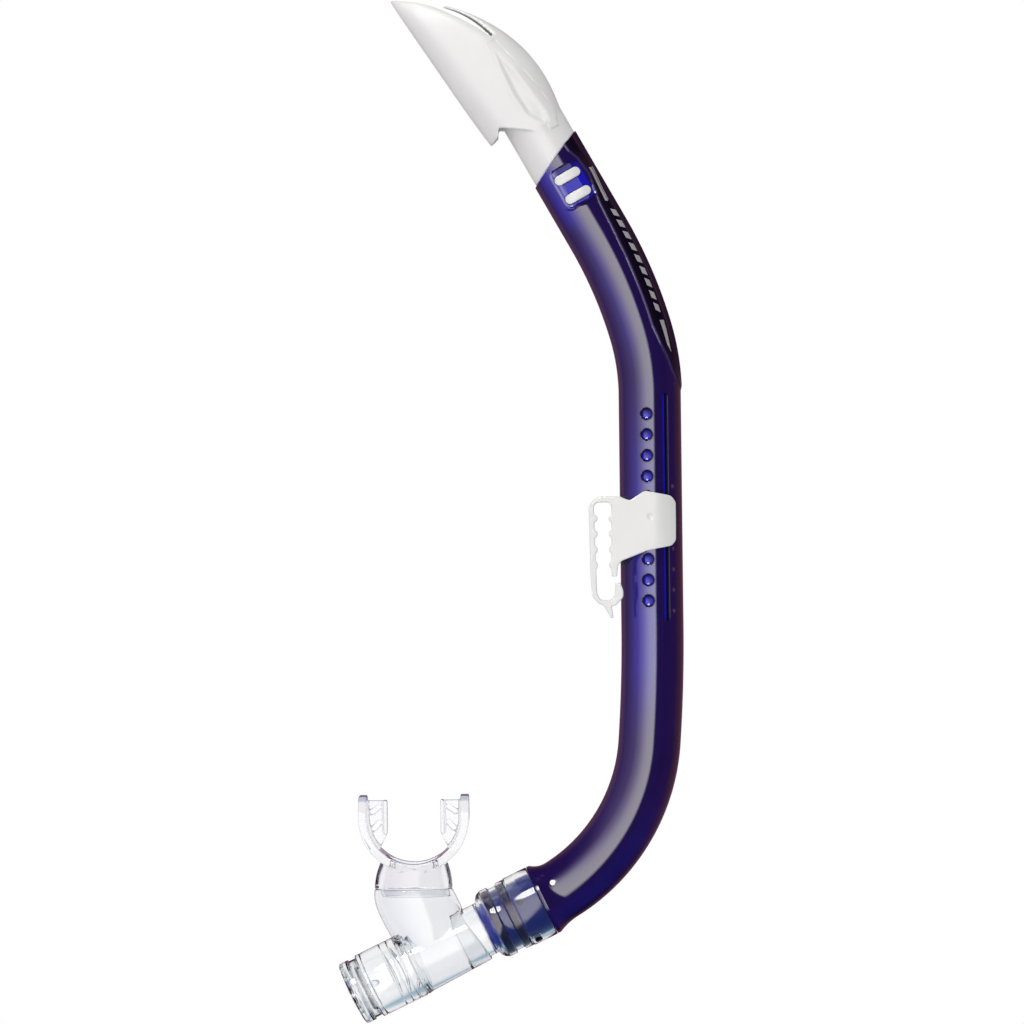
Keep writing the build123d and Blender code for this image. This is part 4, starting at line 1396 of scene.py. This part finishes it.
cover = filled_lathe("purge_cover_cap", COVER_PROFILE, clear_plastic, 0.25)
cut_out(cover, joined("slots", *(slot_cutter(i) for i in range(SLOT_COUNT))))
cover.data.shade_smooth()
cover.data.set_sharp_from_angle(angle=math.radians(SMOOTH_ANGLE))
claim(cover, "purge_cover", "mouth_unit")

# ---- chamber: a turned tube and an oval neck, melted into one soft shell ----

CHAMBER_WALL = 1.6
NECK_TOP = -147.5
NECK_FOOT = -177.0
NECK_OPEN = 1.5
# The neck's sections by height: the x of the middle, and half the width along X and along Y
NECK_SECTIONS = (
    (NECK_TOP, -84.85, 17.1, 12.6),
    (-156.0, -82.4, 18.7, 13.2),
    (-166.0, -79.0, 17.4, 13.5),
    (NECK_FOOT, -79.5, 12.0, 11.8),
)
NECK_TURNS = 128
NECK_ROWS = 40
RIM_W = 32.85
RIM_DEPTH = 0.6
RIM_SLANT = math.tan(math.radians(8.8))
CHAMBER_TUBE = ((RIM_W, 0), (RIM_W, 13.35), (61.4, 14.4), (61.6, 14.75), (63.2, 14.75), (63.2, 0))
CHAMBER_BORE = ((26.0, 0), (26.0, 12.0), (40.0, 12.0), (41.0, 12.55), (64.5, 12.55), (64.5, 0))


def neck(name, wall, top):
    """The oval neck from top to its foot, smaller by wall, its sections run through a smooth curve."""
    zs, xs, half_xs, half_ys = (np.array(column) for column in zip(*NECK_SECTIONS))
    angles = np.arange(NECK_TURNS) * math.tau / NECK_TURNS
    heights = np.linspace(top, NECK_FOOT, NECK_ROWS)
    x, half_x, half_y = (np.polyval(np.polyfit(zs, values, 3), heights) for values in (xs, half_xs, half_ys))
    points = []
    for i, z in enumerate(heights):
        across = x[i] + (half_x[i] - wall) * np.cos(angles)
        deep = barrel_y / MM + (half_y[i] - wall) * np.sin(angles)
        points.append(np.stack([across, deep, np.full(NECK_TURNS, z)], -1))
    return make_object(name, np.concatenate(points), capped(NECK_ROWS, NECK_TURNS), clear_silicone)


def lean_rim(tube):
    """Slant the chamber's rim at the coupling, so that it leans with the neck."""
    points = mesh_points(tube) / MM - np.array(swivel_foot) / MM
    w = points @ np.array(swivel_dir)
    up = points @ np.array(SWIVEL_UP)
    lean = np.where(w < RIM_W + RIM_DEPTH, RIM_SLANT * up, 0)
    move_points(tube, (points + lean[:, None] * np.array(swivel_dir)) * MM + np.array(swivel_foot))


def make_chamber():
    """The chamber as one soft shell, open at the coupling, at the purge and at the top of its neck."""
    outer = filled_lathe("chamber_outer", CHAMBER_TUBE, clear_silicone, 0.2)
    lean_rim(outer)
    shell = melt(joined("chamber_boot", outer, neck("neck_outer", 0, NECK_TOP)), voxel=0.4, rounds=14)
    bore = filled_lathe("chamber_inner", CHAMBER_BORE, clear_silicone, 0.2)
    hollow = joined("hollow", bore, neck("neck_inner", CHAMBER_WALL, NECK_TOP + NECK_OPEN))
    inside = melt(hollow, voxel=0.4, rounds=1)
    return melt(cut_out(shell, inside), voxel=0.3, rounds=3)


claim(make_chamber(), "chamber", "mouth_unit", clear_silicone)

# ---- mouthpiece ----


def block(name, low, high):
    """A plain block between two corners in millimetres, used only to cut with."""
    corners = [(x, y, z) for x in (low[0], high[0]) for y in (low[1], high[1]) for z in (low[2], high[2])]
    faces = [(0, 1, 3, 2), (4, 6, 7, 5), (0, 4, 5, 1), (2, 3, 7, 6), (0, 2, 6, 4), (1, 5, 7, 3)]
    return make_object(name, corners, faces, clear_silicone)


# The sleeve inside the neck shows through it, so it is cut short at its foot
SLEEVE_FOOT = -151.0
BELOW_SLEEVE = ((-120, -20, -180), (-50, 50, SLEEVE_FOOT))
bite = soften("mouthpiece", "mouthpiece_bite", 0.36, 9, bite_silicone, "mouth_unit")
cut_out(bite, block("below", *BELOW_SLEEVE))

# ---- the purge seat, carried over from the CAD ----

SEAT_BEVEL = 0.15
SEAT_ANGLE = 40.0
CLEAR_LAYERS = 40


def finish_node(node, material):
    """A carried-over CAD node: its material, and its edges broken by a small bevel."""
    piece = nodes[node]
    piece.data.materials.clear()
    piece.data.materials.append(material)
    edge = piece.modifiers.new("edges", "BEVEL")
    edge.limit_method = "ANGLE"
    edge.angle_limit = math.radians(SEAT_ANGLE)
    edge.width = SEAT_BEVEL * MM
    edge.segments = 2


finish_node("purge_seat", clear_plastic)
bpy.context.scene.cycles.transparent_max_bounces = CLEAR_LAYERS

low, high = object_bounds()
